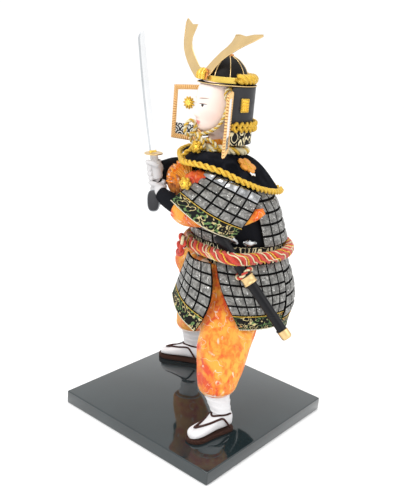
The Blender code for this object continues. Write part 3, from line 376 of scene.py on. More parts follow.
def plate(name: str, outline: Sequence[tuple[float, float]], thickness: float, matrix: Matrix,
          bevel: float) -> Piece:
    """A flat plate cut to an outline, with softened edges.

    Args:
        name: The piece's name.
        outline: Points in millimetres in the plate's plane.
        thickness: Thickness in metres.
        matrix: The plate's place.
        bevel: Width of the softened edge in metres.

    Returns:
        The plate.
    """
    deselect()
    curve = bpy.data.curves.new(name, "CURVE")
    curve.dimensions, curve.fill_mode, curve.extrude = "2D", "BOTH", thickness / 2
    spline = curve.splines.new("POLY")
    spline.points.add(len(outline) - 1)
    for target, (u, v) in zip(spline.points, outline):
        target.co = (u * MM, v * MM, 0.0, 1.0)
    spline.use_cyclic_u = True
    obj = bpy.data.objects.new(name, curve)
    bpy.context.scene.collection.objects.link(obj)
    pick(obj)
    bpy.ops.object.convert(target="MESH")
    obj = bpy.context.object
    outward(obj)
    if bevel:
        apply(obj, "BEVEL", width=bevel, segments=2, limit_method="ANGLE", angle_limit=radians(50))
    layer = obj.data.uv_layers.active or obj.data.uv_layers.new(name="UVMap")
    for corner in obj.data.loops:
        spot = obj.data.vertices[corner.vertex_index].co
        layer.data[corner.index].uv = (spot.x / MM, spot.y / MM)
    return moved(obj, matrix)


def bead_at(place: Vector, radius: float) -> Piece:
    """A small round bead."""
    deselect()
    bpy.ops.mesh.primitive_ico_sphere_add(subdivisions=2, radius=radius, location=place)
    bead = bpy.context.object
    bpy.ops.object.transform_apply(location=True, rotation=True, scale=True)
    bead.data.materials.clear()
    return bead


def coat(obj: Piece, finish: "Finish") -> Piece:
    """Adds one finish to a piece."""
    obj.data.materials.append(finish.made())
    return obj


def face_shares(obj: Piece, axis: int) -> list[float]:
    """Where each face lies along the UV map's U or V, as a share of the whole."""
    spots = obj.data.uv_layers[0].data
    whole = max(item.uv[axis] for item in spots)
    return [sum(spots[corner].uv[axis] for corner in face.loop_indices) / len(face.loop_indices) / whole
            for face in obj.data.polygons]


def dress(obj: Piece, finishes: "Finish | Sequence[Finish]",
          nodes: Iterable[str] = ()) -> Piece:
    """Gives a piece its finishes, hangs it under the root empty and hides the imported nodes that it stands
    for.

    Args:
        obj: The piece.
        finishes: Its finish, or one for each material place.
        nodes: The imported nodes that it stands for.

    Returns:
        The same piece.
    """
    wanted = list(finishes) if isinstance(finishes, (list, tuple)) else [finishes]
    if wanted:
        obj.data.materials.clear()
        for finish in wanted:
            obj.data.materials.append(finish.made())
    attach(obj, "root")
    names = tuple(nodes)
    if names:
        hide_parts(*names)
    return obj


# Finishes
class NodeSketch:
    """Lays out the nodes of one material."""

    def __init__(self, name: str) -> None:
        """Starts a material with its shader."""
        self.material = bpy.data.materials.new(name)
        self.material.use_nodes = True
        self.tree = self.material.node_tree
        self.shader = self.tree.nodes["Principled BSDF"]

    def node(self, kind: str, values: Optional[dict] = None, **settings: object) -> bpy.types.Node:
        """Adds a node, with its settings and its input values or links."""
        node = self.tree.nodes.new(kind)
        for key, value in settings.items():
            setattr(node, key, value)
        for key, value in (values or {}).items():
            self.feed(node.inputs[key], value)
        return node

    def feed(self, socket: Socket, value: object) -> None:
        """Links or sets one input."""
        if isinstance(value, Socket):
            self.tree.links.new(value, socket)
        elif isinstance(value, (tuple, list)) and socket.type == "RGBA":
            socket.default_value = (*value[:3], 1.0)
        else:
            socket.default_value = value

    def where(self, source: Source = Source.SPACE, place: Optional[Vector] = None,
              turn: Row = (0.0, 0.0, 0.0), stretch: Row = (1.0, 1.0, 1.0)) -> Socket:
        """Pattern coordinates in millimetres, seen from a place and a turn."""
        coordinates = self.node("ShaderNodeTexCoord").outputs[source.value]
        if place is not None or any(turn):
            coordinates = self.node("ShaderNodeMapping", {
                "Vector": coordinates, "Location": tuple(place or (0, 0, 0)), "Rotation": tuple(turn)},
                vector_type="TEXTURE").outputs[0]
        size = 1000.0 if source is Source.SPACE else 1.0
        return self.node("ShaderNodeMapping", {
            "Vector": coordinates, "Scale": tuple(size * part for part in stretch)}).outputs[0]

    def noise(self, where: Socket, scale: float, detail: float = 2.0, distortion: float = 0.0,
              seed: float = 0.0) -> Socket:
        """Soft noise from 0 to 1."""
        shifted = where
        if seed:
            shifted = self.node("ShaderNodeVectorMath",
                                {0: where, 1: (seed, seed * 1.7, seed * 0.6)}).outputs[0]
        return self.node("ShaderNodeTexNoise", {
            "Vector": shifted, "Scale": scale, "Detail": detail, "Distortion": distortion}).outputs[0]

    def cells(self, where: Socket, scale: float, random: float = 1.0) -> Socket:
        """The distance to scattered points."""
        return self.node("ShaderNodeTexVoronoi", {
            "Vector": where, "Scale": scale, "Randomness": random}).outputs["Distance"]

    def waves(self, where: Socket, scale: float, direction: str = "X",
              distortion: float = 0.0) -> Socket:
        """Even bands from 0 to 1."""
        return self.node("ShaderNodeTexWave", {
            "Vector": where, "Scale": scale, "Distortion": distortion},
            bands_direction=direction).outputs["Fac"]

    def sum(self, kind: str, a: object, b: object = 0.0) -> Socket:
        """One arithmetic step."""
        node = self.node("ShaderNodeMath", operation=kind)
        self.feed(node.inputs[0], a)
        self.feed(node.inputs[1], b)
        return node.outputs[0]

    def step(self, value: Socket, low: float, high: float) -> Socket:
        """A soft step from 0 at low to 1 at high, falling where low is over high."""
        node = self.node("ShaderNodeMapRange", interpolation_type="SMOOTHSTEP")
        ends = (low, high, 0.0, 1.0) if low < high else (high, low, 1.0, 0.0)
        for socket, number in zip(node.inputs[1:5], ends):
            socket.default_value = number
        self.feed(node.inputs[0], value)
        return node.outputs[0]

    def line(self, value: Socket, middle: float, half: float) -> Socket:
        """1 near a value and 0 away from it."""
        off = self.sum("ABSOLUTE", self.sum("SUBTRACT", value, middle))
        return self.step(off, half, half * 0.55)

    def mix(self, share: object, a: object, b: object) -> Socket:
        """Mixes two colours."""
        node = self.node("ShaderNodeMix", data_type="RGBA")
        self.feed(node.inputs[0], share)
        self.feed(node.inputs[6], a)
        self.feed(node.inputs[7], b)
        return node.outputs[2]

    def times(self, a: object, b: object) -> Socket:
        """The product of two values."""
        return self.sum("MULTIPLY", a, b)

    def plus(self, a: object, b: object) -> Socket:
        """The total of two values."""
        return self.sum("ADD", a, b)

    def paint(self, color: object) -> None:
        """Gives the surface its colour."""
        self.feed(self.shader.inputs["Base Color"], color)

    def bump(self, height: Socket, distance: float) -> None:
        """Gives the surface relief, the distance in metres."""
        node = self.node("ShaderNodeBump", {"Height": height, "Distance": distance})
        self.tree.links.new(node.outputs[0], self.shader.inputs["Normal"])


MADE: dict[str, bpy.types.Material] = {}


@dataclass(frozen=True)
class Finish:
    """A surface's colour and gloss; each kind adds its own pattern.

    Attributes:
        name: The material's name.
        color: The main colour.
        rough: The roughness.
        metal: How far it is metal.
        sheen: The cloth sheen.
        coat: The clear coat.
        shine: Strength of the plain reflection.
    """

    name: str
    color: Rgb = (0.5, 0.5, 0.5)
    rough: float = 0.6
    metal: float = 0.0
    sheen: float = 0.0
    coat: float = 0.0
    shine: float = 0.4

    def made(self) -> bpy.types.Material:
        """The finish's material, made once."""
        if self.name not in MADE:
            sketch = NodeSketch(self.name)
            for key, value in (("Roughness", self.rough), ("Metallic", self.metal),
                               ("Sheen Weight", self.sheen),
                               ("Coat Weight", self.coat), ("Coat Roughness", 0.06),
                               ("Specular IOR Level", self.shine)):
                sketch.shader.inputs[key].default_value = value
            sketch.material.diffuse_color = (*self.color, 1.0)
            self.pattern(sketch)
            MADE[self.name] = sketch.material
        return MADE[self.name]

    def pattern(self, sketch: NodeSketch) -> None:
        """Adds a faint mottling, the plainest pattern."""
        noise = sketch.noise(sketch.where(), 0.35, 4.0)
        darker = tuple(part * 0.78 for part in self.color)
        sketch.paint(sketch.mix(noise, darker, self.color))
        sketch.bump(sketch.noise(sketch.where(), 1.8, 3.0), 0.00006)


@dataclass(frozen=True)
class Lacquer(Finish):
    """Polished black lacquer with faint rubbing marks."""

    def pattern(self, sketch: NodeSketch) -> None:
        """Colour and gloss vary very slightly."""
        where = sketch.where()
        haze = sketch.noise(where, 0.03, 4.0)
        tint = tuple(min(1.0, part * 2.2 + 0.004) for part in self.color)
        sketch.paint(sketch.mix(haze, self.color, tint))
        rubbed = sketch.noise(sketch.where(stretch=(1.0, 0.12, 1.0)), 0.25, 5.0)
        low, high = self.rough * 0.8, self.rough * 1.5
        node = sketch.node("ShaderNodeMapRange", {0: rubbed, 1: 0.3, 2: 0.7, 3: low, 4: high})
        sketch.feed(sketch.shader.inputs["Roughness"], node.outputs[0])


@dataclass(frozen=True)
class Woven(Finish):
    """Plain woven cloth.

    Attributes:
        thread: Thread spacing in millimetres.
        relief: Height of the weave in metres.
    """

    thread: float = 0.5
    relief: float = 0.00008

    def pattern(self, sketch: NodeSketch) -> None:
        """Crossed threads with uneven dye."""
        where = sketch.where()
        scale = 1.0 / (self.thread * 3.2)
        warp, weft = sketch.waves(where, scale, "X", 0.6), sketch.waves(where, scale, "Z", 0.6)
        cloth = sketch.times(warp, weft)
        shadow = tuple(part * 0.72 for part in self.color)
        patchy = sketch.sum("MULTIPLY_ADD", cloth, 0.45)
        even = sketch.plus(patchy, sketch.times(sketch.noise(where, 0.08, 3.0), 0.6))
        sketch.paint(sketch.mix(sketch.step(even, 0.0, 0.9), shadow, self.color))
        sketch.bump(cloth, self.relief)


@dataclass(frozen=True)
class Brocade(Finish):
    """Orange satin brocade with drifting clouds in gold, red and cream.

    Attributes:
        gold: The lighter ground.
        red: The deep clouds.
        cream: The cloud edges.
        scale: Size of the clouds, as one over millimetres.
        seed: Shifts the pattern.
    """

    gold: Rgb = (0.95, 0.42, 0.045)
    red: Rgb = (0.78, 0.075, 0.014)
    cream: Rgb = (0.93, 0.80, 0.66)
    scale: float = 0.032
    seed: float = 0.0

    def pattern(self, sketch: NodeSketch) -> None:
        """Clouds from noise, outlined in cream, over a fine satin weave."""
        where = sketch.where(stretch=(1.0, 1.0, 0.7))
        drift = sketch.noise(where, self.scale * 0.7, 3.0, 1.6, self.seed + 3.0)
        fine = sketch.noise(where, self.scale * 5.0, 4.0, 0.8, self.seed + 17.0)
        mottled = sketch.plus(drift, sketch.times(sketch.sum("SUBTRACT", fine, 0.5), 0.42))
        ground = sketch.mix(sketch.step(mottled, 0.40, 0.60), self.color, self.gold)
        deep = sketch.mix(sketch.step(mottled, 0.41, 0.33), ground, self.red)
        clouds = sketch.noise(where, self.scale * 1.1, 1.0, 1.4, self.seed + 11.0)
        outline = sketch.line(clouds, 0.52, 0.008)
        broken = sketch.step(sketch.noise(where, self.scale * 0.9, 1.0, 0.0, self.seed + 29.0), 0.46, 0.56)
        pale = sketch.mix(sketch.times(sketch.times(outline, broken), 0.8), deep, self.cream)
        bloom = sketch.step(sketch.plus(clouds, sketch.times(fine, 0.10)), 0.725, 0.80)
        color = sketch.mix(sketch.times(bloom, 0.7), pale, self.cream)
        threads = sketch.waves(sketch.where(stretch=(1.0, 1.0, 0.3)), 1.3, "DIAGONAL", 0.4)
        dim = sketch.mix(sketch.times(threads, 0.16), color, (0.30, 0.05, 0.01))
        sketch.paint(dim)
        folds = sketch.times(sketch.noise(where, 0.055, 2.0, 0.8, self.seed + 5.0), 9.0)
        sketch.bump(sketch.plus(threads, folds), 0.00016)


@dataclass(frozen=True)
class ScaleCloth(Finish):
    """Grey metallic cloth of the quilted armour scales, with bright specks."""

    def pattern(self, sketch: NodeSketch) -> None:
        """A crossed weave, uneven greys and scattered foil specks."""
        where = sketch.where(Source.CLOTH)
        blotch = sketch.step(sketch.noise(where, 0.22, 3.0, 0.8, 7.0), 0.40, 0.58)
        slant = sketch.waves(where, 0.62, "DIAGONAL", 1.6)
        threads = sketch.waves(sketch.where(Source.CLOTH, turn=(0.0, 0.0, 1.57)), 0.62, "DIAGONAL", 1.6)
        weave = sketch.times(slant, threads)
        tone = sketch.noise(where, 0.42, 4.0)
        mixed = sketch.plus(sketch.times(weave, 0.55), sketch.times(tone, 0.75))
        dark = tuple(part * 0.22 for part in self.color)
        patchy = sketch.plus(sketch.times(blotch, 0.75), 0.25)
        even = sketch.times(sketch.step(mixed, 0.22, 0.78), patchy)
        grey = sketch.mix(even, dark, self.color)
        specks = sketch.step(sketch.cells(where, 0.40), 0.27, 0.15)
        some = sketch.step(sketch.noise(where, 0.20, 1.0, 0.0, 5.0), 0.46, 0.53)
        foil = sketch.times(specks, some)
        sketch.paint(sketch.mix(foil, grey, (0.90, 0.90, 0.88)))
        sketch.bump(sketch.plus(weave, sketch.plus(tone, foil)), 0.00022)


@dataclass(frozen=True)
class Paisley(Finish):
    """Black cloth with drop-shaped scrolls in cream, gold and green.

    Attributes:
        drop: Distance between drops in millimetres.
        thin: How much thinner the scrolls are drawn.
        light: The scroll colour.
        second: The other scroll colour.
        spot: Colour of the drops' hearts.
    """

    drop: float = 8.0
    thin: float = 0.0
    light: Rgb = (0.74, 0.66, 0.40)
    second: Rgb = (0.20, 0.30, 0.13)
    spot: Rgb = (0.72, 0.22, 0.04)

    def pattern(self, sketch: NodeSketch) -> None:
        """Nested outlines round scattered hearts, with small leaves between."""
        where = sketch.where(Source.CLOTH, stretch=(0.72, 1.0, 1.0))
        bent = sketch.node("ShaderNodeTexNoise", {"Vector": where, "Scale": 0.16, "Detail": 1.0})
        shift = sketch.node("ShaderNodeVectorMath", {0: bent.outputs[1], 1: (5.2, 5.2, 0.0)},
                            operation="MULTIPLY")
        swirled = sketch.node("ShaderNodeVectorMath", {0: where, 1: shift.outputs[0]}).outputs[0]
        away = sketch.cells(swirled, 1.0 / self.drop, 0.85)
        rings = sketch.step(sketch.sum("SINE", sketch.times(away, 19.0)), 0.10 + self.thin,
                            0.42 + self.thin)
        leaves = sketch.step(sketch.cells(swirled, 3.0 / self.drop, 1.0), 0.30, 0.22)
        apart = sketch.step(away, 0.56, 0.60)
        lines = sketch.sum("MAXIMUM", rings, sketch.times(leaves, apart))
        hue = sketch.step(sketch.noise(where, 0.16, 1.0, 0.0, 9.0), 0.47, 0.53)
        inked = sketch.mix(lines, self.color, sketch.mix(hue, self.light, self.second))
        hearts = sketch.times(sketch.step(away, 0.12, 0.07), 0.9)
        sketch.paint(sketch.mix(hearts, inked, self.spot))
        sketch.bump(sketch.plus(lines, sketch.noise(where, 1.2, 2.0)), 0.00012)


@dataclass(frozen=True)
class Thread(Finish):
    """Twisted silk or metallic thread, ridged along its own slant.

    Attributes:
        ridge: Ridge spacing in millimetres.
        shade_part: How dark the painted shade in the grooves is; on the edge stitch it darkens the gaps
            between stitches.
        slant: The slope of the ridges.
    """

    ridge: float = 0.8
    shade_part: float = 0.45
    slant: float = 0.9

    def pattern(self, sketch: NodeSketch) -> None:
        """Slanting ridges over the strand's own length, with shade painted into the grooves between them."""
        where = sketch.where(Source.CLOTH, turn=(0.0, 0.0, self.slant))
        ridges = sketch.waves(where, 0.314 / self.ridge, "X", 0.9)
        # Painted shade: the grooves between ridges get a darker copy of the colour (on the edge stitch, the
        # gaps between stitches).
        groove_shade = tuple(part * self.shade_part for part in self.color)
        tone = sketch.noise(sketch.where(), 0.5, 2.0)
        share = sketch.step(sketch.plus(ridges, sketch.times(tone, 0.5)), 0.15, 0.95)
        sketch.paint(sketch.mix(share, groove_shade, self.color))
        sketch.bump(ridges, 0.00022)


@dataclass(frozen=True)
class Velvet(Finish):
    """Short black pile."""

    def pattern(self, sketch: NodeSketch) -> None:
        """Brushed patches and a fine nap."""
        where = sketch.where()
        brushed = sketch.noise(where, 0.07, 3.0, 0.5)
        light = tuple(part * 2.4 + 0.004 for part in self.color)
        sketch.paint(sketch.mix(sketch.step(brushed, 0.4, 0.75), self.color, light))
        sketch.bump(sketch.noise(where, 3.0, 3.0), 0.00018)


@dataclass(frozen=True)
class Foil(Finish):
    """Brushed or rolled metal.

    Attributes:
        stretch: How the brushing runs along each axis.
        dull: The colour of tarnished patches.
    """

    stretch: Row = (1.0, 1.0, 0.08)
    dull: float = 0.75

    def pattern(self, sketch: NodeSketch) -> None:
        """Long brushing marks and slight tarnish."""
        marks = sketch.noise(sketch.where(stretch=self.stretch), 2.2, 4.0)
        tarnish = sketch.noise(sketch.where(), 0.09, 3.0)
        dim = tuple(part * self.dull for part in self.color)
        share = sketch.step(sketch.plus(sketch.times(marks, 0.5), tarnish), 0.45, 0.95)
        sketch.paint(sketch.mix(share, dim, self.color))
        sketch.bump(marks, 0.00003)


@dataclass(frozen=True)
class Straw(Finish):
    """Plaited sole."""

    def pattern(self, sketch: NodeSketch) -> None:
        """Rows of plaiting across the sole."""
        where = sketch.where()
        plait = sketch.times(sketch.waves(where, 0.20, "DIAGONAL", 2.0), sketch.waves(where, 0.28, "Y", 1.5))
        light = tuple(min(1.0, part * 2.3) for part in self.color)
        sketch.paint(sketch.mix(plait, self.color, light))
        sketch.bump(plait, 0.00025)


@dataclass(frozen=True)
class WaveBand(Finish):
    """White plate cloth with a dark border of wave scales along its foot.

    Attributes:
        border: Height of the border in millimetres.
    """

    border: float = 11.0

    def pattern(self, sketch: NodeSketch) -> None:
        """Overlapping arcs in the border; a faint weave above it."""
        where = sketch.where(Source.CLOTH)
        split = sketch.node("ShaderNodeSeparateXYZ", {"Vector": where})
        u, v = split.outputs[0], split.outputs[1]
        rowed = sketch.sum("DIVIDE", v, 4.2)
        shift = sketch.times(sketch.sum("MODULO", sketch.sum("FLOOR", rowed), 2.0), 4.6)
        across = sketch.sum("PINGPONG", sketch.plus(u, shift), 4.6)
        tall = sketch.times(sketch.sum("FRACT", rowed), 4.2)
        far = sketch.sum("SQRT", sketch.plus(sketch.sum("POWER", across, 2.0),
                                             sketch.sum("POWER", tall, 2.0)))
        arcs = sketch.step(sketch.sum("SINE", sketch.times(far, 2.7)), 0.45, 0.80)
        waves = sketch.mix(arcs, (0.012, 0.012, 0.014), (0.80, 0.80, 0.76))
        weave = sketch.noise(sketch.where(), 0.9, 3.0)
        cloth = sketch.mix(weave, tuple(part * 0.9 for part in self.color), self.color)
        foot = sketch.step(v, self.border + 0.15, self.border - 0.15)
        sketch.paint(sketch.mix(foot, cloth, waves))
        sketch.bump(weave, 0.00008)


@dataclass(frozen=True)
class PaintedFace(Finish):
    """Ivory doll's skin with a plain painted face.

    Attributes:
        place: The head's origin in metres.
        turn: The head's turn about Z.
    """

    place: Row = (0.0, 0.0, 0.0)
    turn: float = 0.0

    def spot(self, sketch: NodeSketch, x: Socket, z: Socket, middle: Row,
             size: Row, tilt: float = 0.0, soft: float = 0.12) -> Socket:
        """An oval mask.

        Args:
            sketch: The material's sketch.
            x: Distance across the face.
            z: Height.
            middle: The oval's middle.
            size: Its half width and half height.
            tilt: How far it climbs outwards for each millimetre.
            soft: The softness of its edge.

        Returns:
            1 inside and 0 outside.
        """
        across = sketch.sum("SUBTRACT", x, middle[0])
        up = sketch.sum("SUBTRACT", sketch.sum("SUBTRACT", z, middle[1]), sketch.times(across, tilt))
        a = sketch.sum("POWER", sketch.sum("ABSOLUTE", sketch.sum("DIVIDE", across, size[0])), 2.0)
        b = sketch.sum("POWER", sketch.sum("ABSOLUTE", sketch.sum("DIVIDE", up, size[1])), 2.0)
        return sketch.step(sketch.plus(a, b), 1.0 + soft, 1.0 - soft)

    def pattern(self, sketch: NodeSketch) -> None:
        """Eyes, brows, lips and a blush, placed on plain proportions."""
        where = sketch.where(place=Vector(self.place), turn=(0.0, 0.0, self.turn))
        split = sketch.node("ShaderNodeSeparateXYZ", {"Vector": where})
        x, y = sketch.sum("ABSOLUTE", split.outputs[0]), split.outputs[1]
        z = sketch.sum("SUBTRACT", split.outputs[2], LIFT)
        front = sketch.step(y, -8.0, -11.0)
        color: object = sketch.mix(sketch.noise(where, 0.06, 2.0), (0.80, 0.63, 0.565), self.color)
        layers = (
            ((9.5, 278.5), (5.5, 4.2), 0.0, 0.9, (0.90, 0.50, 0.44), 0.30),
            ((0.0, 272.6), (4.1, 0.95), 0.0, 0.3, (0.70, 0.20, 0.17), 0.85),
            ((0.0, 270.9), (3.3, 1.0), 0.0, 0.3, (0.74, 0.24, 0.20), 0.85),
            ((0.0, 271.75), (4.3, 0.20), 0.0, 0.3, (0.30, 0.06, 0.05), 0.9),
            ((6.4, 286.6), (3.3, 1.15), 0.05, 0.2, (0.88, 0.87, 0.85), 0.95),
            ((6.4, 286.6), (1.25, 1.25), 0.0, 0.2, (0.030, 0.016, 0.010), 1.0),
            ((6.5, 287.75), (3.7, 0.42), 0.05, 0.3, (0.020, 0.014, 0.012), 1.0),
            ((6.9, 292.6), (4.2, 0.50), 0.10, 0.5, (0.16, 0.11, 0.09), 0.8),
        )
        for middle, size, tilt, soft, paint, strength in layers:
            mask = sketch.times(self.spot(sketch, x, z, middle, size, tilt, soft), front)
            color = sketch.mix(sketch.times(mask, strength), color, paint)
        sketch.paint(color)
        sketch.bump(sketch.noise(where, 0.8, 3.0), 0.00002)


LACQUER = Lacquer("board_lacquer", (0.007, 0.012, 0.0135), 0.05, coat=0.4, shine=0.5)
GLOSS = Lacquer("gloss_black", (0.003, 0.003, 0.004), 0.20, shine=0.2)
CROWN_BLACK = Lacquer("crown_black", (0.004, 0.0035, 0.003), 0.42, shine=0.10)
GUARD_BLACK = Lacquer("guard_black", (0.016, 0.016, 0.018), 0.36, shine=0.20)
GUARD_RIM = Lacquer("guard_rim", (0.16, 0.17, 0.18), 0.4, shine=0.4)
STRAW = Straw("brown_straw", (0.030, 0.012, 0.008), 0.75, shine=0.2)
STRAP = Woven("dark_strap", (0.045, 0.017, 0.014), 0.7, thread=0.35, shine=0.15)
COTTON = Woven("white_cotton", (0.70, 0.69, 0.70), 0.85, shine=0.1, thread=0.34, relief=0.00005)
# A darker copy of the white cotton, used on the gloves: painted shade on the white fists.
SHADED_GLOVE_COTTON = Woven("shaded_glove_cotton", (0.54, 0.53, 0.535), 0.85, shine=0.1, thread=0.34, relief=0.00005)
BLACK_CLOTH = Woven("black_cloth", (0.006, 0.0065, 0.009), 0.85, shine=0.10, thread=0.4)
LINING = Woven("dark_lining", (0.004, 0.004, 0.004), 0.95, shine=0.04, thread=0.5)
ORANGE = Brocade("orange_brocade", (0.88, 0.20, 0.014), 0.42, sheen=0.1, scale=0.060)
SATIN = Brocade("orange_satin", (0.90, 0.20, 0.012), 0.26, scale=0.055, seed=20.0)
RED_SATIN = Brocade("red_satin", (0.62, 0.045, 0.014), 0.28, scale=0.07, seed=31.0, gold=(0.86, 0.16, 0.02))
RUSSET = Brocade("russet_brocade", (0.42, 0.11, 0.03), 0.36, scale=0.11, seed=57.0, gold=(0.80, 0.30, 0.06),
                 red=(0.10, 0.02, 0.01))
SCALES = ScaleCloth("grey_scales", (0.47, 0.465, 0.44), 0.30, metal=0.55)
PAISLEY = Paisley("patterned_black", (0.006, 0.006, 0.006), 0.6, shine=0.10, drop=5.4,
                  light=(0.54, 0.45, 0.22),
                  second=(0.11, 0.19, 0.07), spot=(0.50, 0.18, 0.04), thin=0.42)
BAND_PAISLEY = Paisley("patterned_band", (0.008, 0.008, 0.009), 0.6, shine=0.12, drop=6.4,
                       light=(0.80, 0.72, 0.46), second=(0.66, 0.58, 0.36), spot=(0.70, 0.46, 0.14),
                       thin=0.22)
RED_SILK = Thread("red_silk", (0.70, 0.050, 0.022), 0.36, sheen=0.15, ridge=0.75, shade_part=0.32)
CREAM_SILK = Thread("cream_silk", (0.84, 0.74, 0.45), 0.42, sheen=0.2, ridge=0.8, shade_part=0.5)
EDGE_STITCH = Thread("edge_stitch", (0.78, 0.72, 0.52), 0.5, ridge=1.5, slant=pi / 2, shade_part=0.10)
GOLD = Thread("gold_thread", (0.95, 0.585, 0.06), 0.34, 0.42, ridge=0.9, shade_part=0.24)
ORANGE_BRAID = Thread("orange_braid", (0.84, 0.34, 0.085), 0.5, ridge=1.6, slant=0.0)
# A lit and a shaded copy of one braid for the plates' frames: painted highlight on the ribs, painted shade in
# the grooves.
LIT_FRAME_BRAID = Thread("lit_frame_braid", (1.0, 0.64, 0.26), 0.5, ridge=0.9, slant=0.0, shade_part=0.8)
SHADED_BRAID_GROOVE = Thread("shaded_braid_groove", (0.48, 0.13, 0.018), 0.6, ridge=0.9, slant=0.0)
ORANGE_GOLD = Thread("orange_gold", (0.90, 0.36, 0.035), 0.42, 0.25, ridge=0.9, slant=0.4)
WHITE_PIPING = Thread("white_piping", (0.86, 0.82, 0.78), 0.5, ridge=0.7)
BLACK_WRAP = Thread("black_wrap", (0.008, 0.008, 0.010), 0.6, shine=0.15, ridge=0.6)
VELVET = Velvet("black_velvet", (0.0035, 0.004, 0.006), 0.95, shine=0.04)
PALE_GOLD = Foil("pale_gold", (0.70, 0.50, 0.235), 0.30, 0.85, dull=0.90)
SATIN_GOLD = Foil("satin_gold", (0.93, 0.66, 0.13), 0.30, 0.7, stretch=(1.0, 1.0, 1.0))
SILVER = Foil("bright_foil", (0.93, 0.935, 0.94), 0.16, 1.0, dull=0.95)
FOIL_CLOTH = Foil("foil_cloth", (0.50, 0.51, 0.52), 0.24, 0.95, stretch=(1.0, 1.0, 1.0), dull=0.25)
BLADE_STEEL = Foil("blade_steel", (0.86, 0.87, 0.88), 0.22, 1.0, dull=0.96)
EDGE_STEEL = Foil("edge_steel", (0.56, 0.58, 0.60), 0.25, 1.0, dull=0.9)
PLATE_CLOTH = WaveBand("white_plate", (0.86, 0.85, 0.84), 0.6, border=14.7)


# Shared forms
Surface = Callable[[float, float], tuple[Vector, Vector]]
TORSO: tuple[Row, ...] = (
    (153, 27, 41, 39), (171, 27, 45, 44.5), (187, 23, 45, 43), (201, 19, 45, 42), (213, 13, 43, 40.5),
    (223, 9, 38, 33), (232, 6, 30, 24), (240, 4, 24, 20), (245, 3, 20, 17),
)


def torso_row(height: float) -> Row:
    """The torso's middle y, half width and half depth at a height, in millimetres."""
    return row_at(TORSO, height)


def oval(x: float, y: float, z: float, half_x: float, half_y: float, count: int,
         ripple: Optional[Callable[[float], float]] = None) -> Ring:
    """A level oval ring, its size rippled by an angle's factor."""
    ring = []
    for angle in angles(count):
        size = ripple(angle) if ripple else 1.0
        ring.append(at(x + half_x * size * cos(angle), y + half_y * size * sin(angle), z))
    return ring


def armour_surface(low: float, high: float, start: float, end: float) -> Surface:
    """The torso's face between two heights and two angles in degrees."""

    def surface(u: float, v: float) -> tuple[Vector, Vector]:
        angle = radians(start + (end - start) * u)
        height = high + (low - high) * v
        middle, half_x, half_y = torso_row(height)
        point = at(half_x * cos(angle), middle + half_y * sin(angle), height)
        return point, Vector((cos(angle) / half_x, sin(angle) / half_y, 0)).normalized()

    return surface


def skirt_surface(ends: Row) -> Surface:
    """The flared face of a skirt panel from its angles, hem height and tuck."""
    top_start, top_end, low_start, low_end, hem, tuck = ends

    def surface(u: float, v: float) -> tuple[Vector, Vector]:
        high, low = top_start + (top_end - top_start) * u, low_start + (low_end - low_start) * u
        angle = radians(high + (low - high) * v)
        swing = 13.3 * sin(min(1.0, v / FLARE_END) * pi / 2) - tuck * max(0.0, v - FLARE_END) / 0.35
        point = at((45.4 + swing) * cos(angle), WAIST_Y + (44.7 + swing) * sin(angle),
                   SKIRT_TOP + (hem - SKIRT_TOP) * v)
        return point, Vector((cos(angle), sin(angle), 0))

    return surface


def patch_surface(corners: Sequence[Row], bulge: Row, toward: Row, side_push: Row, side: int,
                  low_push: Row = (0, 0, 0)) -> Surface:
    """A four-cornered face pushed out in its middle, along one side and at its hem."""
    a, b, c, d = (at(*corner) for corner in corners)
    out = Vector(toward).normalized()

    def surface(u: float, v: float) -> tuple[Vector, Vector]:
        point = a.lerp(b, u).lerp(d.lerp(c, u), v)
        point += out * MM * (bulge[0] + (bulge[1] - bulge[0]) * v) * sin(pi * u)
        point += Vector(side_push) * MM * sin(pi * v) * (u if side else 1 - u)
        point += Vector(low_push) * MM * sin(pi * u) * v
        return point, out

    return surface


def head_matrix() -> Matrix:
    """The head's place and its turn to its left."""
    return Matrix.Translation(HEAD_PLACE) @ Matrix.Rotation(HEAD_TURN, 4, "Z")


def sword_matrix() -> Matrix:
    """The sword's place and lean; local Z runs up the blade and the edge faces forwards."""
    return Matrix.Translation(at(*SWORD_PLACE)) @ Matrix.Rotation(SWORD_LEAN, 4, "X")


@dataclass(frozen=True)
class Strand:
    """One strand of a rope.

    Attributes:
        finish: Its finish.
        radius: Its radius in millimetres.
        offset: How far its middle lies from the rope's.
        phase: Where it starts round the rope, as a share of a turn.
    """

    finish: Finish
    radius: float
    offset: float
    phase: float


@dataclass
class Rope:
    """Strands twisted round a path.

    Attributes:
        name: The piece's name.
        path: The rope's middle line in metres.
        strands: Its strands.
        pitch: Length of one turn in millimetres.
        cyclic: Whether it closes.
        sides: Points round each strand.
        steps: Steps in each turn.
        wobble: How far the strands sway round the rope, in radians.
    """

    name: str
    path: Sequence[Vector]
    strands: Sequence[Strand]
    pitch: float
    cyclic: bool = False
    sides: int = 8
    steps: int = 12
    wobble: float = 0.0

    def build(self) -> Piece:
        """Sweeps every strand and joins them."""
        length = path_length(self.path, self.cyclic) / MM
        turns = max(1, round(length / self.pitch)) if self.cyclic else length / self.pitch
        count = max(8, int(turns * self.steps))
        line = even_path(self.path, count, self.cyclic)
        across = turned_frames(line, self.cyclic)
        made = []
        for strand in self.strands:
            points = []
            for i, (point, (a, b)) in enumerate(zip(line, across)):
                angle = 2 * pi * (turns * i / (count if self.cyclic else count - 1) + strand.phase)
                angle += self.wobble * sin(2 * pi * (31 * i / count + 3.3 * strand.phase))
                points.append(point + (a * cos(angle) + b * sin(angle)) * strand.offset * MM)
            piece = sweep(self.name, points, strand.radius * MM, self.sides, self.cyclic)
            piece.data.materials.append(strand.finish.made())
            made.append(piece)
        return shade(join(self.name, made))


def two_ply(first: Finish, second: Finish, radius: float) -> list[Strand]:
    """Two equal strands that fill a rope of a radius in millimetres."""
    return [Strand(first, radius * 0.56, radius * 0.50, 0.0),
            Strand(second, radius * 0.56, radius * 0.50, 0.5)]


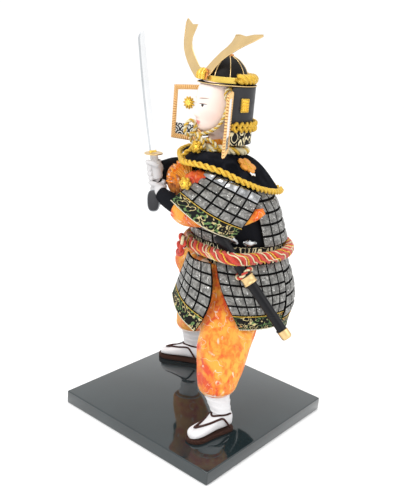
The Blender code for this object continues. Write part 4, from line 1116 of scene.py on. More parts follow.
# Studio
@dataclass
class Studio:
    """The camera, the soft light and the pale floor."""

    lens: float = 49.27
    place: Row = (0.60356, -0.07346, 0.36281)
    right: Row = (0.084125, 0.993177, 0.080768)
    down: Row = (0.315870, 0.050297, -0.947469)
    forward: Row = (-0.945067, 0.105218, -0.309483)
    daylight: float = 1.07

    def camera(self) -> None:
        """Sets the camera where the photograph was taken from."""
        data = bpy.data.cameras.new("camera")
        data.lens, data.sensor_width, data.sensor_fit = self.lens, 36.0, "AUTO"
        data.clip_start, data.clip_end = 0.01, 20.0
        obj = bpy.data.objects.new("camera", data)
        axes = Matrix((self.right, [-part for part in self.down],
                       [-part for part in self.forward])).transposed()
        obj.matrix_world = Matrix.Translation(self.place) @ axes.to_4x4()
        bpy.context.scene.collection.objects.link(obj)
        bpy.context.scene.camera = obj

    def light(self, name: str, place: Row, size: float, power: float) -> None:
        """Hangs one soft panel that faces the doll."""
        data = bpy.data.lights.new(name, "AREA")
        data.shape, data.size, data.energy = "DISK", size, power
        obj = bpy.data.objects.new(name, data)
        obj.location = place
        obj.rotation_euler = (Vector((0, 0, 0.18)) - Vector(place)).to_track_quat("-Z", "Y").to_euler()
        bpy.context.scene.collection.objects.link(obj)

    def build(self) -> None:
        """Makes the camera, the daylight, the panels and the floor."""
        self.camera()
        scene = bpy.context.scene
        scene.view_settings.view_transform = "Standard"
        world = bpy.data.worlds.new("daylight")
        world.use_nodes = True
        shade_node = world.node_tree.nodes["Background"]
        shade_node.inputs[0].default_value = (1.0, 1.0, 1.0, 1.0)
        shade_node.inputs[1].default_value = self.daylight
        scene.world = world
        self.light("key_panel", (0.75, -0.75, 1.05), 0.6, 9.0)
        self.light("fill_panel", (0.9, 0.75, 0.55), 0.9, 2.5)
        self.light("top_panel", (-0.2, 0.1, 1.3), 0.9, 3.5)
        deselect()
        bpy.ops.mesh.primitive_plane_add(size=8.0, location=(0, 0, -0.0002))
        floor = bpy.context.object
        floor.name = "floor"
        sketch = NodeSketch("pale_floor")
        tone = sketch.noise(sketch.where(), 0.004, 3.0)
        sketch.paint(sketch.mix(tone, (0.965, 0.965, 0.965), (0.985, 0.985, 0.985)))
        sketch.shader.inputs["Roughness"].default_value = 0.9
        sketch.shader.inputs["Specular IOR Level"].default_value = 0.1
        floor.data.materials.append(sketch.material)


# Base and feet
@dataclass
class LacquerBoard:
    """The square board, set with a corner forwards."""

    side: float = 0.180
    thickness: float = 0.013

    def build(self) -> None:
        """A block with soft edges."""
        deselect()
        bpy.ops.mesh.primitive_cube_add(size=1.0, location=(0, 0, self.thickness / 2),
                                        rotation=(0, 0, radians(45)))
        board = bpy.context.object
        board.name = board.data.name = "lacquer_board"
        board.scale = (self.side, self.side, self.thickness)
        bpy.ops.object.transform_apply(location=True, rotation=True, scale=True)
        apply(board, "BEVEL", width=0.0012, segments=3)
        dress(shade(board, 30), LACQUER, ["base_board"])


@dataclass
class SandalledFoot:
    """A sandal, the split-toed sock in it and the wrap above."""

    side: Side
    heel: Row
    toe: Row
    hem: Row
    length: float = 49.5
    width: float = 19.5
    floor: float = 3.8
    sock_height: float = 19.0
    shape: tuple[Row, ...] = (
        (0.035, 0.10, 0.40), (0.05, 0.27, 0.80), (0.11, 0.34, 0.97), (0.20, 0.36, 1.0), (0.30, 0.355, 1.0),
        (0.40, 0.35, 0.90), (0.50, 0.36, 0.68), (0.62, 0.385, 0.54), (0.75, 0.41, 0.45), (0.86, 0.38, 0.38),
        (0.93, 0.28, 0.30), (0.955, 0.12, 0.16),
    )

    def place(self, along: float, across: float, height: float) -> Vector:
        """A point from shares of the foot's length and width and a height in millimetres."""
        heel, toe = Vector((*self.heel, 0)), Vector((*self.toe, 0))
        ahead = (toe - heel).normalized()
        left = Vector((-ahead.y, ahead.x, 0))
        spot = heel + ahead * (self.length * along) + left * (self.width * across)
        return at(spot.x, spot.y, height)

    def section(self, along: float) -> Row:
        """Half width share and height of the sock at a share of its length."""
        half, tall = row_at(self.shape, along)
        return half, tall * self.sock_height

    def on_sock(self, along: float, across: float, lift: float) -> Vector:
        """A point over the sock's skin, across running from -1 to 1."""
        half, height = self.section(along)
        tall = height * (0.5 + 0.5 * sqrt(max(0.0, 1.0 - across * across)))
        return self.place(along, half * across * (1.0 + lift / 9.0),
                          self.floor + tall + lift * (1 - abs(across)))

    def sole(self) -> None:
        """The plaited sole."""
        shares = ((0.0, 0.14), (0.015, 0.28), (0.05, 0.38), (0.10, 0.43), (0.20, 0.43), (0.30, 0.42),
                  (0.50, 0.43),
                  (0.62, 0.465), (0.72, 0.49), (0.80, 0.485), (0.88, 0.44), (0.94, 0.35), (0.98, 0.22),
                  (1.0, 0.10))
        outline = [(self.length * a, self.width * b) for a, b in shares]
        outline += [(a, -b) for a, b in reversed(outline)]
        ahead = Vector((self.toe[0] - self.heel[0], self.toe[1] - self.heel[1], 0)).normalized()
        matrix = plane_matrix(at(*self.heel, 1.9), ahead, (-ahead.y, ahead.x, 0))
        sole = plate(f"{self.side.value}_plaited_sole", outline, 0.0032, matrix, 0.0007)
        dress(shade(sole, 40), STRAW, [f"{self.side.value}_sandal_sole"])

    def sock(self) -> None:
        """The sock, its big toe parted from the rest."""
        rings = []
        toe_side = -self.side.way
        for along, wide, tall in blend_rows(self.shape, 4):
            ring = []
            for angle in angles(32):
                across, up = cos(angle), sin(angle)
                height = self.sock_height * tall * (0.5 + 0.5 * math.copysign(abs(up) ** 0.72, up))
                split = exp(-((across - 0.22 * toe_side) / 0.13) ** 2) * max(0.0, (along - 0.70) / 0.25)
                ring.append(self.place(along, wide * across,
                                       self.floor + height * (1 - 0.42 * split * (up > 0))))
            rings.append(ring)
        sock = soften(tube(f"{self.side.value}_split_toed_sock", rings))
        dress(shade(sock), COTTON, [f"{self.side.value}_sock"])

    def straps(self) -> None:
        """The forked thong over the toes and the tie round the ankle."""
        thong = [self.on_sock(a, b, 0.9) for a, b in (
            (0.30, 0.96), (0.40, 0.86), (0.50, 0.66), (0.62, 0.42), (0.74, 0.18),
            (0.84, -0.16 * self.side.way),
            (0.74, -0.28), (0.62, -0.48), (0.50, -0.70), (0.40, -0.88), (0.30, -0.96))]
        thong = [self.place(0.14, 0.43, 5.6)] + thong + [self.place(0.14, -0.43, 5.6)]
        tie = [self.on_sock(a, b, 0.9) for a, b in (
            (0.14, 0.80), (0.26, 0.80), (0.38, 0.62), (0.46, 0.20), (0.46, -0.20), (0.38, -0.62),
            (0.26, -0.80),
            (0.14, -0.80))]
        tie.append(self.place(0.02, 0.0, 14.5))
        name = f"{self.side.value}_straps"
        strap = sweep(name, even_path(thong, 60), 0.00115, 8, flat=0.8)
        ankle = sweep(name, even_path(tie, 60, True), 0.00105, 8, True, flat=0.8)
        dress(shade(join(name, [strap, ankle])), STRAP, [f"{self.side.value}_sandal_straps"])

    def wrap(self) -> None:
        """The white band wound round the ankle."""
        foot = self.place(0.27, 0.0, 0.0) / MM
        rings = []
        base = self.floor + self.sock_height - 1.2
        for i in range(41):
            share = i / 40
            x, y = foot.x + (self.hem[0] - foot.x) * share, foot.y + (self.hem[1] - foot.y) * share
            swell = 0.80 + 0.27 * share
            height = base + (41.5 - base) * share
            rings.append(oval(x, y, height, 9.5 * swell, 11.5 * swell, 40,
                              lambda a, s=share: 0.985 + 0.045 * ((s * 3.4 + a / math.tau) % 1.0) ** 1.6
                              + 0.008 * sin(5 * a + 14 * s)))
        wrap = tube(f"{self.side.value}_ankle_wrap", rings)
        dress(shade(wrap, 50), COTTON, [f"{self.side.value}_leg_wrap"])

    def build(self) -> None:
        """Makes the foot from the sole up."""
        self.sole()
        self.sock()
        self.straps()
        self.wrap()


# Clothes
@dataclass
class BrocadeTrousers:
    """The stuffed brocade trousers and the piping at their hems."""

    left: tuple[Row, ...] = (
        (40, 60.5, 10, 12.6, 13.0), (42, 60.3, 10.2, 14.3, 14.8), (46, 60, 11, 16.5, 17),
        (54, 58.6, 12, 17.4, 19),
        (62, 57, 13, 18, 20.5), (80, 52, 14, 17.5, 23), (92, 45.5, 18.5, 14, 25), (108, 36.5, 19, 13.5, 30.5),
        (124, 28, 17, 18.5, 35.5), (139, 20.5, 17, 22, 36.5), (152, 19, 23, 21.5, 32),
    )
    right: tuple[Row, ...] = (
        (40, -71.5, -1, 12.6, 13.0), (42, -71.4, -1, 14.4, 15), (46, -71, -1, 16.5, 17.5),
        (54, -68.6, 0.4, 18, 19),
        (62, -66, 2, 19, 20.5), (80, -57, 6, 18, 23), (92, -46.5, 11, 15.5, 26.5), (108, -35, 14, 15.5, 33),
        (124, -27, 12, 18.5, 38.5), (139, -20, 12, 21.5, 38.5), (152, -19, 23, 21.5, 32),
    )

    def leg(self, name: str, rows: Sequence[Row], seed: float) -> Piece:
        """One leg with soft pleats and creases.

        Args:
            name: The piece's name.
            rows: Height, middle and half sizes of its sections.
            seed: Shifts its folds.

        Returns:
            The leg.
        """
        rings = []
        for height, x, y, half_x, half_y in blend_rows(rows, 5):
            share = (height - 40) / 112

            def ripple(a: float, s: float = share) -> float:
                """The fold factor at an angle."""
                pleat = 0.020 * sin(7 * a + 1.4 * sin(3.0 * s + seed)) * (0.35 + s)
                drape = 0.022 * sin(3 * a + 11.0 * s + seed) + 0.016 * sin(5 * a - 17.0 * s + 2 * seed)
                return 1.0 + pleat + drape * min(1.0, s * 6)

            rings.append(oval(x, y, height, half_x, half_y, 72, ripple))
        return tube(name, rings)

    def build(self) -> None:
        """Joins the legs into one garment and pipes its hems."""
        cloth = join("brocade_trousers", [self.leg("leg", self.left, 0.4),
                                          self.leg("other_leg", self.right, 2.9)])
        apply(cloth, "REMESH", mode="VOXEL", voxel_size=0.0014)
        swell(cloth, 0.0016, rounds=14)
        apply(cloth, "SMOOTH", factor=0.5, iterations=2)
        soften(cloth)
        dress(shade(cloth), ORANGE, ["trousers"])
        for name, row in (("left_hem_piping", self.left[1]), ("right_hem_piping", self.right[1])):
            ring = oval(row[1], row[2], row[0] - 0.5, row[3] + 0.1, row[4] + 0.1, 72)
            dress(shade(sweep(name, ring, 0.0007, 8, True)), WHITE_PIPING)


def swell(obj: Piece, limit: float, rounds: int) -> None:
    """Lets a closed cloth skin settle under stuffing.

    Args:
        obj: The skin.
        limit: The furthest that a point may move, in metres.
        rounds: Frames of the simulation.
    """
    before = [vert.co.copy() for vert in obj.data.vertices]
    pick(obj)
    cloth = obj.modifiers.new("cloth", "CLOTH")
    values = cloth.settings
    values.quality = 4
    values.mass = 0.15
    values.use_pressure = True
    values.uniform_pressure_force = 4.0
    values.shrink_min = -0.05
    values.tension_stiffness = values.compression_stiffness = 12.0
    values.bending_stiffness = 0.3
    values.effector_weights.gravity = 0.0
    cloth.point_cache.frame_start, cloth.point_cache.frame_end = 1, rounds
    scene = bpy.context.scene
    for number in range(1, rounds + 1):
        scene.frame_set(number)
    bpy.ops.object.modifier_apply(modifier=cloth.name)
    for vert, start in zip(obj.data.vertices, before):
        step = vert.co - start
        if step.length > limit:
            vert.co = start + step.normalized() * limit
    scene.frame_set(1)


CELL = 7  # faces across and down one scale with its seams
SCALE, SEAM, HEM, BACK, BRIGHT = range(5)  # a panel's material places


@dataclass
class ScalePanel:
    """A quilted panel with a puffed scale in each cell.

    Attributes:
        name: The piece's name.
        node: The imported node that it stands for.
        surface: The panel's face.
        columns: Scales across.
        rows: Scales from the top down.
        hem: Whether a patterned hem follows below.
        puff: How far a scale stands up in millimetres.
        seam_across: Half the width of a seam as a share of a cell's width.
        seam_down: Half the width of a seam as a share of a cell's height.
        hem_rows: Height of the hem, counted in rows of scales.
        foil_rows: How many rows at the top are brighter foil.
    """

    name: str
    node: str
    surface: Surface
    columns: int
    rows: int
    hem: bool = True
    puff: float = 1.35
    seam_across: float = 0.07
    seam_down: float = 0.10
    hem_rows: float = 1.5
    foil_rows: int = 0

    def lines(self, count: int, total: float, seam: float) -> list[float]:
        """The grid lines' shares for so many cells out of a total."""
        stations = (0.0, seam, seam + 0.06, 0.32, 0.68, 0.94 - seam, 1.0 - seam)
        return [(cell + part) / total for cell in range(count) for part in stations] + [count / total]

    def pad(self, place: float, seam: float) -> float:
        """How far a scale stands up at a share of its cell, from 0 in the seam to 1."""
        return max(0.0, sin(pi * (place - seam) / (1.0 - 2.0 * seam))) ** 0.55 if place > seam else 0.0

    def build(self) -> None:
        """Lays the cloth, quilts its cells, gives it a back and edges its hem."""
        total = self.rows + (self.hem_rows if self.hem else 0.0)
        wide = path_length([self.surface(i / 8, 0.6)[0] for i in range(9)]) / MM
        tall = path_length([self.surface(0.5, i / 8)[0] for i in range(9)]) / MM
        across = self.lines(self.columns, self.columns, self.seam_across)
        down = self.lines(self.rows, total, self.seam_down)
        if self.hem:
            down += [1.0 - self.hem_rows / total * (1.0 - i / CELL) for i in range(1, CELL + 1)]

        def place(u: float, v: float) -> Vector:
            """A point of the quilted face."""
            point, out = self.surface(u, v)
            if v * total >= self.rows - 1e-6:
                return point
            rise = self.pad(u * self.columns % 1.0, self.seam_across) * self.pad(v * total % 1.0,
                                                                                 self.seam_down)
            return point + out * self.puff * MM * rise

        faces = self.columns * CELL
        panel = laid_grid(self.name, faces, len(down) - 1, place, (wide, tall), across, down)
        for face in panel.data.polygons:
            row, column = divmod(face.index, faces)
            seam = column % CELL in (0, CELL - 1) or row % CELL in (0, CELL - 1)
            scale = BRIGHT if row < self.foil_rows * CELL else SCALE
            face.material_index = HEM if row >= self.rows * CELL else (SEAM if seam else scale)
        middle = panel.data.polygons[len(panel.data.polygons) // 2]
        if middle.normal.dot(self.surface(0.5, 0.5)[1]) < 0:
            pick(panel)
            bpy.ops.object.mode_set(mode="EDIT")
            bpy.ops.mesh.select_all(action="SELECT")
            bpy.ops.mesh.flip_normals()
            bpy.ops.object.mode_set(mode="OBJECT")
        for finish in (SCALES, LINING, PAISLEY, LINING, FOIL_CLOTH):
            coat(panel, finish)
        apply(panel, "SOLIDIFY", thickness=0.0016, offset=-1.0, material_offset=0, material_offset_rim=0)
        for face in panel.data.polygons:
            if face.index >= faces * (len(down) - 1):
                face.material_index = BACK
        pieces = [panel]
        if self.hem:
            fold = 1.0 - 0.95 * self.hem_rows / total
            for share, radius, finish in ((1.0, 0.00042, EDGE_STITCH), (fold, 0.0003, GOLD)):
                edge = [self.surface(i / 24, share)[0] + self.surface(i / 24,
                                                                      share)[1] * 0.0002 for i in range(25)]
                pieces.append(coat(sweep(self.name, edge, radius, 6), finish))
        dress(shade(join(self.name, pieces), 75), [], [self.node])


@dataclass
class ScaleArmour:
    """All nine panels of quilted scales."""

    skirts: dict[str, Row] = field(default_factory=lambda: {
        "left": (-33, 50, -1, 43, 99, 0.5), "back": (52, 128, 45.5, 134.5, 88, 4.0),
        "right": (130, 213, 137, 181, 99, 0.5)})
    front_left: tuple[Row, ...] = ((14, -20.5, 155), (44, -2.5, 155), (54, -13, 94), (6, -31.5, 110.5))
    front_right: tuple[Row, ...] = ((-45.2, 0, 155), (-27.2, -16.5, 155), (-42.2, -19.5, 110),
                                    (-59.2, -15.5, 93))
    left_arm: tuple[Row, ...] = ((36, -12, 236), (41.5, 36.5, 217), (53.6, 13, 180.7), (25, -40, 204.5))
    right_arm: tuple[Row, ...] = ((-43.5, 36.5, 217), (-41, -12, 236), (-53, -27, 197), (-56, 12, 180.5))

    def panels(self) -> list[ScalePanel]:
        """The panels from the chest down."""
        made = [
            ScalePanel("back_armour", "cuirass_back", armour_surface(170.3, 221, 22, 158), 9, 5, hem=False),
            ScalePanel("chest_armour", "cuirass_front", armour_surface(170.3, 216, 202, 338), 8, 5,
                       hem=False),
        ]
        for name, ends in self.skirts.items():
            made.append(ScalePanel(f"{name}_hip_panel", f"skirt_{name}", skirt_surface(ends),
                                   8 if name == "back" else 7, 5))
        made.append(ScalePanel("left_thigh_panel", "skirt_front_left", patch_surface(
            self.front_left, (7, 6), (0.62, -0.78, 0), (7, 6, 0), 1), 4, 5))
        made.append(ScalePanel("right_thigh_panel", "skirt_front_right", patch_surface(
            self.front_right, (3, 4), (-0.62, -0.78, 0), (-2, -4, 0), 1), 4, 5))
        made.append(ScalePanel("left_shoulder_panel", "left_arm_panel", patch_surface(
            self.left_arm, (11, 20), (1, -0.1, 0.25), (5, 1, 0), 1, (0, 0, -5)), 5, 4, foil_rows=1))
        made.append(ScalePanel("right_shoulder_panel", "right_arm_panel", patch_surface(
            self.right_arm, (12, 19), (-1, -0.1, 0.25), (-4, 1, 0), 0, (0, 0, -5)), 5, 4, foil_rows=1))
        return made

    def build(self) -> None:
        """Builds every panel."""
        for panel in self.panels():
            panel.build()


@dataclass
class StuffedBody:
    """The black cloth body under the armour."""

    inset: float = 3.0

    def build(self) -> None:
        """A closed skin with faint creases."""
        rings = [oval(0, WAIST_Y, z, 39.6, 37.6, 64) for z in (152.4, 160.0, 169.9)]
        for i in range(26):
            height = 173 + 71 * i / 25
            middle, half_x, half_y = torso_row(height)
            rings.append(oval(0, middle, height, half_x - self.inset, half_y - self.inset, 64,
                              lambda a, s=i: 1.0 - 0.008 * (1 + sin(3 * a + s * 0.9))))
        dress(shade(tube("stuffed_body", rings)), BLACK_CLOTH, ["body_core"])


@dataclass
class WaistDress:
    """The patterned waistband, the rope belt over it and the front knot."""

    height: float = 162.5

    def band(self) -> None:
        """The waistband, a flat closed strap with rolled edges."""
        rings = []
        for angle in angles(96):
            ring = []
            for inset, z in ((0.8, 150.6), (-1.0, 150), (-1.6, 151), (-1.6, 160), (-1.6, 169), (-1.0, 170),
                             (0.8, 169.4), (0.8, 160)):
                ring.append(at((41 - inset) * cos(angle), WAIST_Y + (39 - inset) * sin(angle), z))
            rings.append(ring)
        dress(shade(tube("patterned_waistband", rings, True), 60), BAND_PAISLEY, ["waistband"])

    def belt(self) -> None:
        """Thick red strands with thin cream and gold ones, twisted round the waist and over the scabbard."""
        path = []
        for angle in angles(72):
            off = (math.degrees(angle) + 199) % 360 - 180
            lift = 19.8 * exp(-(off / 20) ** 2)
            path.append(at((48.7 + lift) * cos(angle), WAIST_Y + 46.7 * sin(angle),
                           self.height + lift * 0.22))
        strands = [Strand(RED_SILK, 3.0, 0.0, 0.0)]
        strands += [Strand(RED_SILK, 1.95, 3.5, k / 4) for k in range(4)]
        strands += [Strand(CREAM_SILK if k % 2 else GOLD, 0.62, 4.85, k / 4 + 0.125) for k in range(4)]
        strands.append(Strand(CREAM_SILK, 0.62, 5.0, 0.22))
        dress(Rope("rope_sash", path, strands, 34.0, True, sides=9, steps=24, wobble=0.30).build(), [],
              ["rope_belt"])

    def knot(self) -> None:
        """Two small loops at the front."""
        loops = []
        for k, (x, z, wide, tall) in enumerate(((16.0, 165.5, 8.0, 4.2), (16.5, 158.0, 8.2, 4.4))):
            points = []
            for angle in angles(28):
                points.append(at(x + wide * cos(angle), -27.0 - 1.2 * k + 1.0 * cos(2 * angle),
                                 z + tall * sin(angle)))
            loops.append(Rope("sash_loops", points, two_ply(RED_SILK, RED_SILK if k else CREAM_SILK, 2.7),
                              15.0,
                              True).build())
        dress(join("sash_loops", loops), [], ["belt_knot"])

    def lacing(self) -> None:
        """Two crumpled foil tucks on the black cloth over the belt."""
        parts = []
        for stations in (((44.6, 6, 183, 1.0, 1.0), (45.4, 11, 180, 1.6, 3.4), (45.4, 19, 174.5, 1.0, 1.2)),
                         ((44.2, 24, 175.5, 0.8, 1.0), (44.4, 29, 174.5, 1.5, 2.8),
                          (42.6, 36, 175, 0.8, 1.0))):
            parts.append(limb("foil_lacing", stations, 14, 7,
                              lambda s, a: 1.0 + 0.22 * sin(19 * s + 3 * a) * cos(5 * a)))
        dress(shade(join("foil_lacing", parts), 35), FOIL_CLOTH)

    def build(self) -> None:
        """Builds the band, the belt, the knot and the lacing."""
        self.band()
        self.belt()
        self.knot()
        self.lacing()


def limb(name: str, stations: Sequence[Row], sides: int = 32, steps: int = 6,
         folds: Optional[Callable[[float, float], float]] = None) -> Piece:
    """A soft tube through stations of x, y, z, half width and half height.

    Args:
        name: The piece's name.
        stations: The stations in millimetres.
        sides: Points round it.
        steps: Rings between two stations.
        folds: The size factor for a share of the length and an angle.

    Returns:
        The limb.
    """
    rows = blend_rows(stations, steps)
    rings = []
    for i, row in enumerate(rows):
        ahead = (Vector(rows[min(i + 1, len(rows) - 1)][:3]) - Vector(rows[max(i - 1, 0)][:3])).normalized()
        across = ahead.cross(Vector((0, 0, 1))).normalized()
        up = across.cross(ahead)
        ring = []
        for angle in angles(sides):
            size = folds(i / (len(rows) - 1), angle) if folds else 1.0
            offset = across * (row[3] * size * cos(angle)) + up * (row[4] * size * sin(angle))
            ring.append(at(*row[:3]) + offset * MM)
        rings.append(ring)
    return tube(name, rings)


@dataclass
class Arm:
    """A sleeve, a black cuff and a white-gloved fist."""

    side: Side
    sleeve: tuple[Row, ...]
    cuff: tuple[Row, ...]
    palm: tuple[Row, ...]
    grip_low: float
    grip_high: float
    grip_turn: float
    finish: Finish

    def clothes(self) -> None:
        """The stuffed sleeve and the cuff."""
        name = self.side.value
        sleeve = limb(f"{name}_brocade_sleeve", self.sleeve, 40, 6,
                      lambda s, a: 0.985 + 0.030 * sin(11 * s + 2 * a) * cos(a + 4 * s))
        swell(sleeve, 0.0008, rounds=10)
        dress(shade(sleeve), self.finish, [f"{name}_sleeve"])
        cuff = limb(f"{name}_black_cuff", self.cuff, 36, 6,
                    lambda s, a: 0.985 + 0.020 * sin(9 * s + 3 * a))
        dress(shade(cuff), BLACK_CLOTH, [f"{name}_cuff"])

    def fist(self) -> None:
        """The palm with four fingers round the grip and a thumb over them."""
        name = self.side.value
        palm = limb(f"{name}_gloved_hand", self.palm, 28, 5)
        grip = sword_matrix()
        parts = [palm]
        heights = [self.grip_low + (self.grip_high - self.grip_low) * k / 3 for k in range(4)]
        for k, height in enumerate(heights):
            points = []
            for i in range(15):
                angle = radians(self.grip_turn + 205 * i / 14)
                reach = 5.4 + (0.5 if k in (1, 2) else 0.0)
                points.append(in_frame(grip, reach * cos(angle), reach * sin(angle),
                                              height + 0.5 * sin(angle)))
            parts.append(sweep(palm.name, points, 0.0025, 12, taper=rounded))
        shell = [[in_frame(grip, 5.0 * cos(a) * size, 5.4 * sin(a) * size, z)
                  for a in angles(24)]
                 for z, size in ((heights[0] - 1.5, 0.80), (heights[0] - 1.0, 0.95), (heights[0] + 2.0, 1.0),
                                 (heights[-1] - 2.0, 1.0), (heights[-1] + 1.0, 0.95),
                                 (heights[-1] + 1.5, 0.80))]
        parts.append(tube(palm.name, shell))
        thumb = [grip @ (Vector(point) * MM) for point in (
            (5.5, 3.0, heights[-1] - 2.5), (6.8, -1.0, heights[-1] + 0.5), (5.2, -5.2, heights[-1] + 2.2),
            (1.5, -7.0, heights[-1] + 2.0))]
        parts.append(sweep(palm.name, even_path(thumb, 12), 0.0022, 10,
                           taper=rounded))
        hand = join(palm.name, parts)
        apply(hand, "REMESH", mode="VOXEL", voxel_size=0.0006)
        apply(hand, "SMOOTH", factor=0.5, iterations=3)
        # The white gloves take the darker cotton copy, painted shade.
        dress(shade(hand), SHADED_GLOVE_COTTON, [f"{name}_hand"])

    def build(self) -> None:
        """Builds the whole arm."""
        self.clothes()
        self.fist()


@dataclass
class HandGuard:
    """The rounded black plate on the back of the left hand."""

    def build(self) -> None:
        """A flat rounded plate with a paler rim."""
        outline = []
        for angle in angles(40):
            outline.append((5.2 * math.copysign(abs(cos(angle)) ** 0.7, cos(angle)),
                            9.2 * math.copysign(abs(sin(angle)) ** 0.7, sin(angle))))
        matrix = plane_matrix(at(10.5, -54.5, 199.5), (0.25, 0.95, 0.15), (-0.25, 0.2, 0.95))
        shield = plate("hand_shield", outline, 0.0013, matrix, 0.0003)
        rim = [matrix @ Vector((u * MM, v * MM, 0)) for u, v in outline]
        edge = sweep("hand_shield", rim, 0.0007, 8, True)
        shield = join("hand_shield", [coat(shield, GUARD_BLACK), coat(edge, GUARD_RIM)])
        dress(shade(shield, 40), [], ["left_hand_guard"])


@dataclass
class RobeFront:
    """The gathered under-robe between the arms, its pleated lining and the shoulder gathers."""

    half: Row = (13.5, 9.5, 15.0)
    middle: Row = (0.0, -33.0, 217.0)
    fan_foot: Row = (13.0, -22.5, 219.0)
    pleats: int = 9

    def puff(self) -> None:
        """A folded puff of brocade."""
        deselect()
        bpy.ops.mesh.primitive_uv_sphere_add(segments=72, ring_count=40, radius=1.0)
        puff = bpy.context.object
        puff.name = puff.data.name = "under_robe"
        turn = Matrix.Rotation(radians(14), 4, "X")
        for vert in puff.data.vertices:
            angle = math.atan2(vert.co.y, vert.co.x)
            fold = 1.0 + 0.11 * sin(11 * angle + 4 * vert.co.z) * (1 - vert.co.z ** 2)
            shaped = Vector([part * half * fold for part, half in zip(vert.co, self.half)])
            vert.co = at(*self.middle) + turn @ (shaped * MM)
        dress(shade(puff), RUSSET, ["robe_front"])

    def fan(self) -> None:
        """The orange lining, pleated like a fan."""

        def place(u: float, v: float) -> Vector:
            """A point from u round the fan and v out from its foot."""
            angle = radians(-8 + 98 * u)
            reach = 4.0 + 16.5 * v * (1.0 - 0.10 * cos(2 * pi * u * self.pleats))
            fold = 1.3 * v * cos(2 * pi * u * self.pleats)
            x, y, z = self.fan_foot
            return at(x - 2.5 * v + fold, y - reach * cos(angle), z + reach * sin(angle))

        fan = laid_grid("pleated_lining", self.pleats * 8, 8, place, (28.0, 17.0))
        apply(fan, "SOLIDIFY", thickness=0.0005, offset=0.0)
        dress(shade(fan, 60), SATIN)

    def gathers(self) -> None:
        """The red satin gathers at the top of the left arm."""
        stations = ((24.0, -27.0, 223.5, 3.0, 4.0), (29.0, -21.0, 226.0, 5.0, 6.5),
                    (33.0, -14.0, 227.5, 5.0, 6.5),
                    (35.0, -7.0, 228.0, 3.0, 4.0))
        puff = limb("shoulder_gathers", stations, 48, 8,
                    lambda s, a: 1.0 + 0.10 * sin(26 * s) + 0.06 * sin(7 * a))
        dress(shade(puff), RED_SATIN)

    def build(self) -> None:
        """Makes the puff, the lining and the gathers."""
        self.puff()
        self.fan()
        self.gathers()


# Sword and scabbard
@dataclass
class Sword:
    """The curved blade, its gold guard and the wrapped handle."""

    blade: float = 104.0
    width: float = 6.8
    curve: float = 3.5
    handle: float = 46.0
    radius: float = 3.4

    def steel(self) -> None:
        """The blade with its ridge and slanted tip."""
        rings = []
        for i in range(45):
            share = i / 44 * 0.997
            tip = max(0.0, (share - 0.93) / 0.067)
            bend = self.curve * share * share
            wide = self.width * (1.0 - 0.12 * share) * (1.0 - 0.93 * tip ** 1.6)
            edge = -self.width / 2 + bend + self.width * 0.80 * tip ** 1.6
            half = 0.75 * (1.0 - 0.75 * tip)
            ridge = edge + wide * 0.62
            z = 1.6 + self.blade * share
            ring = [(0.0, edge), (half * 0.55, edge + wide * 0.28), (half, ridge), (half * 0.72, edge + wide),
                    (-half * 0.72, edge + wide), (-half, ridge), (-half * 0.55, edge + wide * 0.28)]
            rings.append([in_frame(sword_matrix(), x, y, z) for x, y in ring])
        blade = tube("curved_blade", rings)
        for finish in (BLADE_STEEL, EDGE_STEEL):
            coat(blade, finish)
        for face, share in zip(blade.data.polygons, face_shares(blade, 0)):
            face.material_index = 1 if int(share * len(ring)) in (0, len(ring) - 1) else 0
        dress(shade(blade, 22), [], ["sword_blade"])
        collar = [[in_frame(sword_matrix(), 1.1 * cos(a), -0.1 + 3.4 * sin(a), z)
                   for a in angles(20)] for z in (0.9, 1.0, 2.6, 2.8)]
        dress(shade(tube("blade_collar", collar), 40), SATIN_GOLD)

    def guard(self) -> None:
        """The round guard with a raised rim."""
        deselect()
        bpy.ops.mesh.primitive_cylinder_add(vertices=56, radius=0.0082, depth=0.0011)
        disc = bpy.context.object
        disc.name = disc.data.name = "round_guard"
        bpy.ops.object.mode_set(mode="EDIT")
        bpy.ops.mesh.select_mode(type="FACE")
        bpy.ops.mesh.select_all(action="DESELECT")
        bpy.ops.object.mode_set(mode="OBJECT")
        for face in disc.data.polygons:
            face.select = abs(face.normal.z) > 0.9
        bpy.ops.object.mode_set(mode="EDIT")
        bpy.ops.mesh.inset(thickness=0.0009, depth=0.0, use_individual=True)
        bpy.ops.mesh.inset(thickness=0.0003, depth=-0.00018, use_individual=True)
        bpy.ops.object.mode_set(mode="OBJECT")
        apply(disc, "BEVEL", width=0.00015, segments=2, limit_method="ANGLE", angle_limit=radians(40))
        moved(disc, sword_matrix() @ Matrix.Rotation(radians(-8), 4, "X"))
        dress(shade(disc, 40), PALE_GOLD, ["sword_guard"])

    def grip(self) -> None:
        """The white core with black bands crossing over it."""
        rings = []
        for share, wide in ((0.0, 1.0), (0.03, 1.04), (0.06, 0.94), (0.5, 0.86), (0.93, 0.95), (0.955, 1.08),
                            (0.99, 1.05), (1.0, 0.86)):
            z = -1.6 - (self.handle - 0.6) * share
            rings.append([in_frame(sword_matrix(), self.radius * 0.8 * wide * cos(a),
                                                   self.radius * wide * sin(a), z)
                          for a in angles(28)])
        parts = [coat(tube("wrapped_grip", rings), COTTON)]
        for way in (1, -1):
            points = []
            for i in range(150):
                share = 0.06 + 0.87 * i / 149
                angle = way * 2 * pi * 5.5 * share
                reach = self.radius * (0.90 + 0.06 * (1 if way > 0 else 0.7)) + 0.25
                points.append(in_frame(sword_matrix(), reach * 0.8 * cos(angle), reach * sin(angle),
                                                       -1.6 - (self.handle - 0.6) * share))
            parts.append(coat(sweep("wrapped_grip", points, 0.00105, 6, flat=0.5), BLACK_WRAP))
        dress(shade(join("wrapped_grip", parts), 50), [], ["sword_handle"])

    def build(self) -> None:
        """Builds the sword from the tip down."""
        self.steel()
        self.guard()
        self.grip()


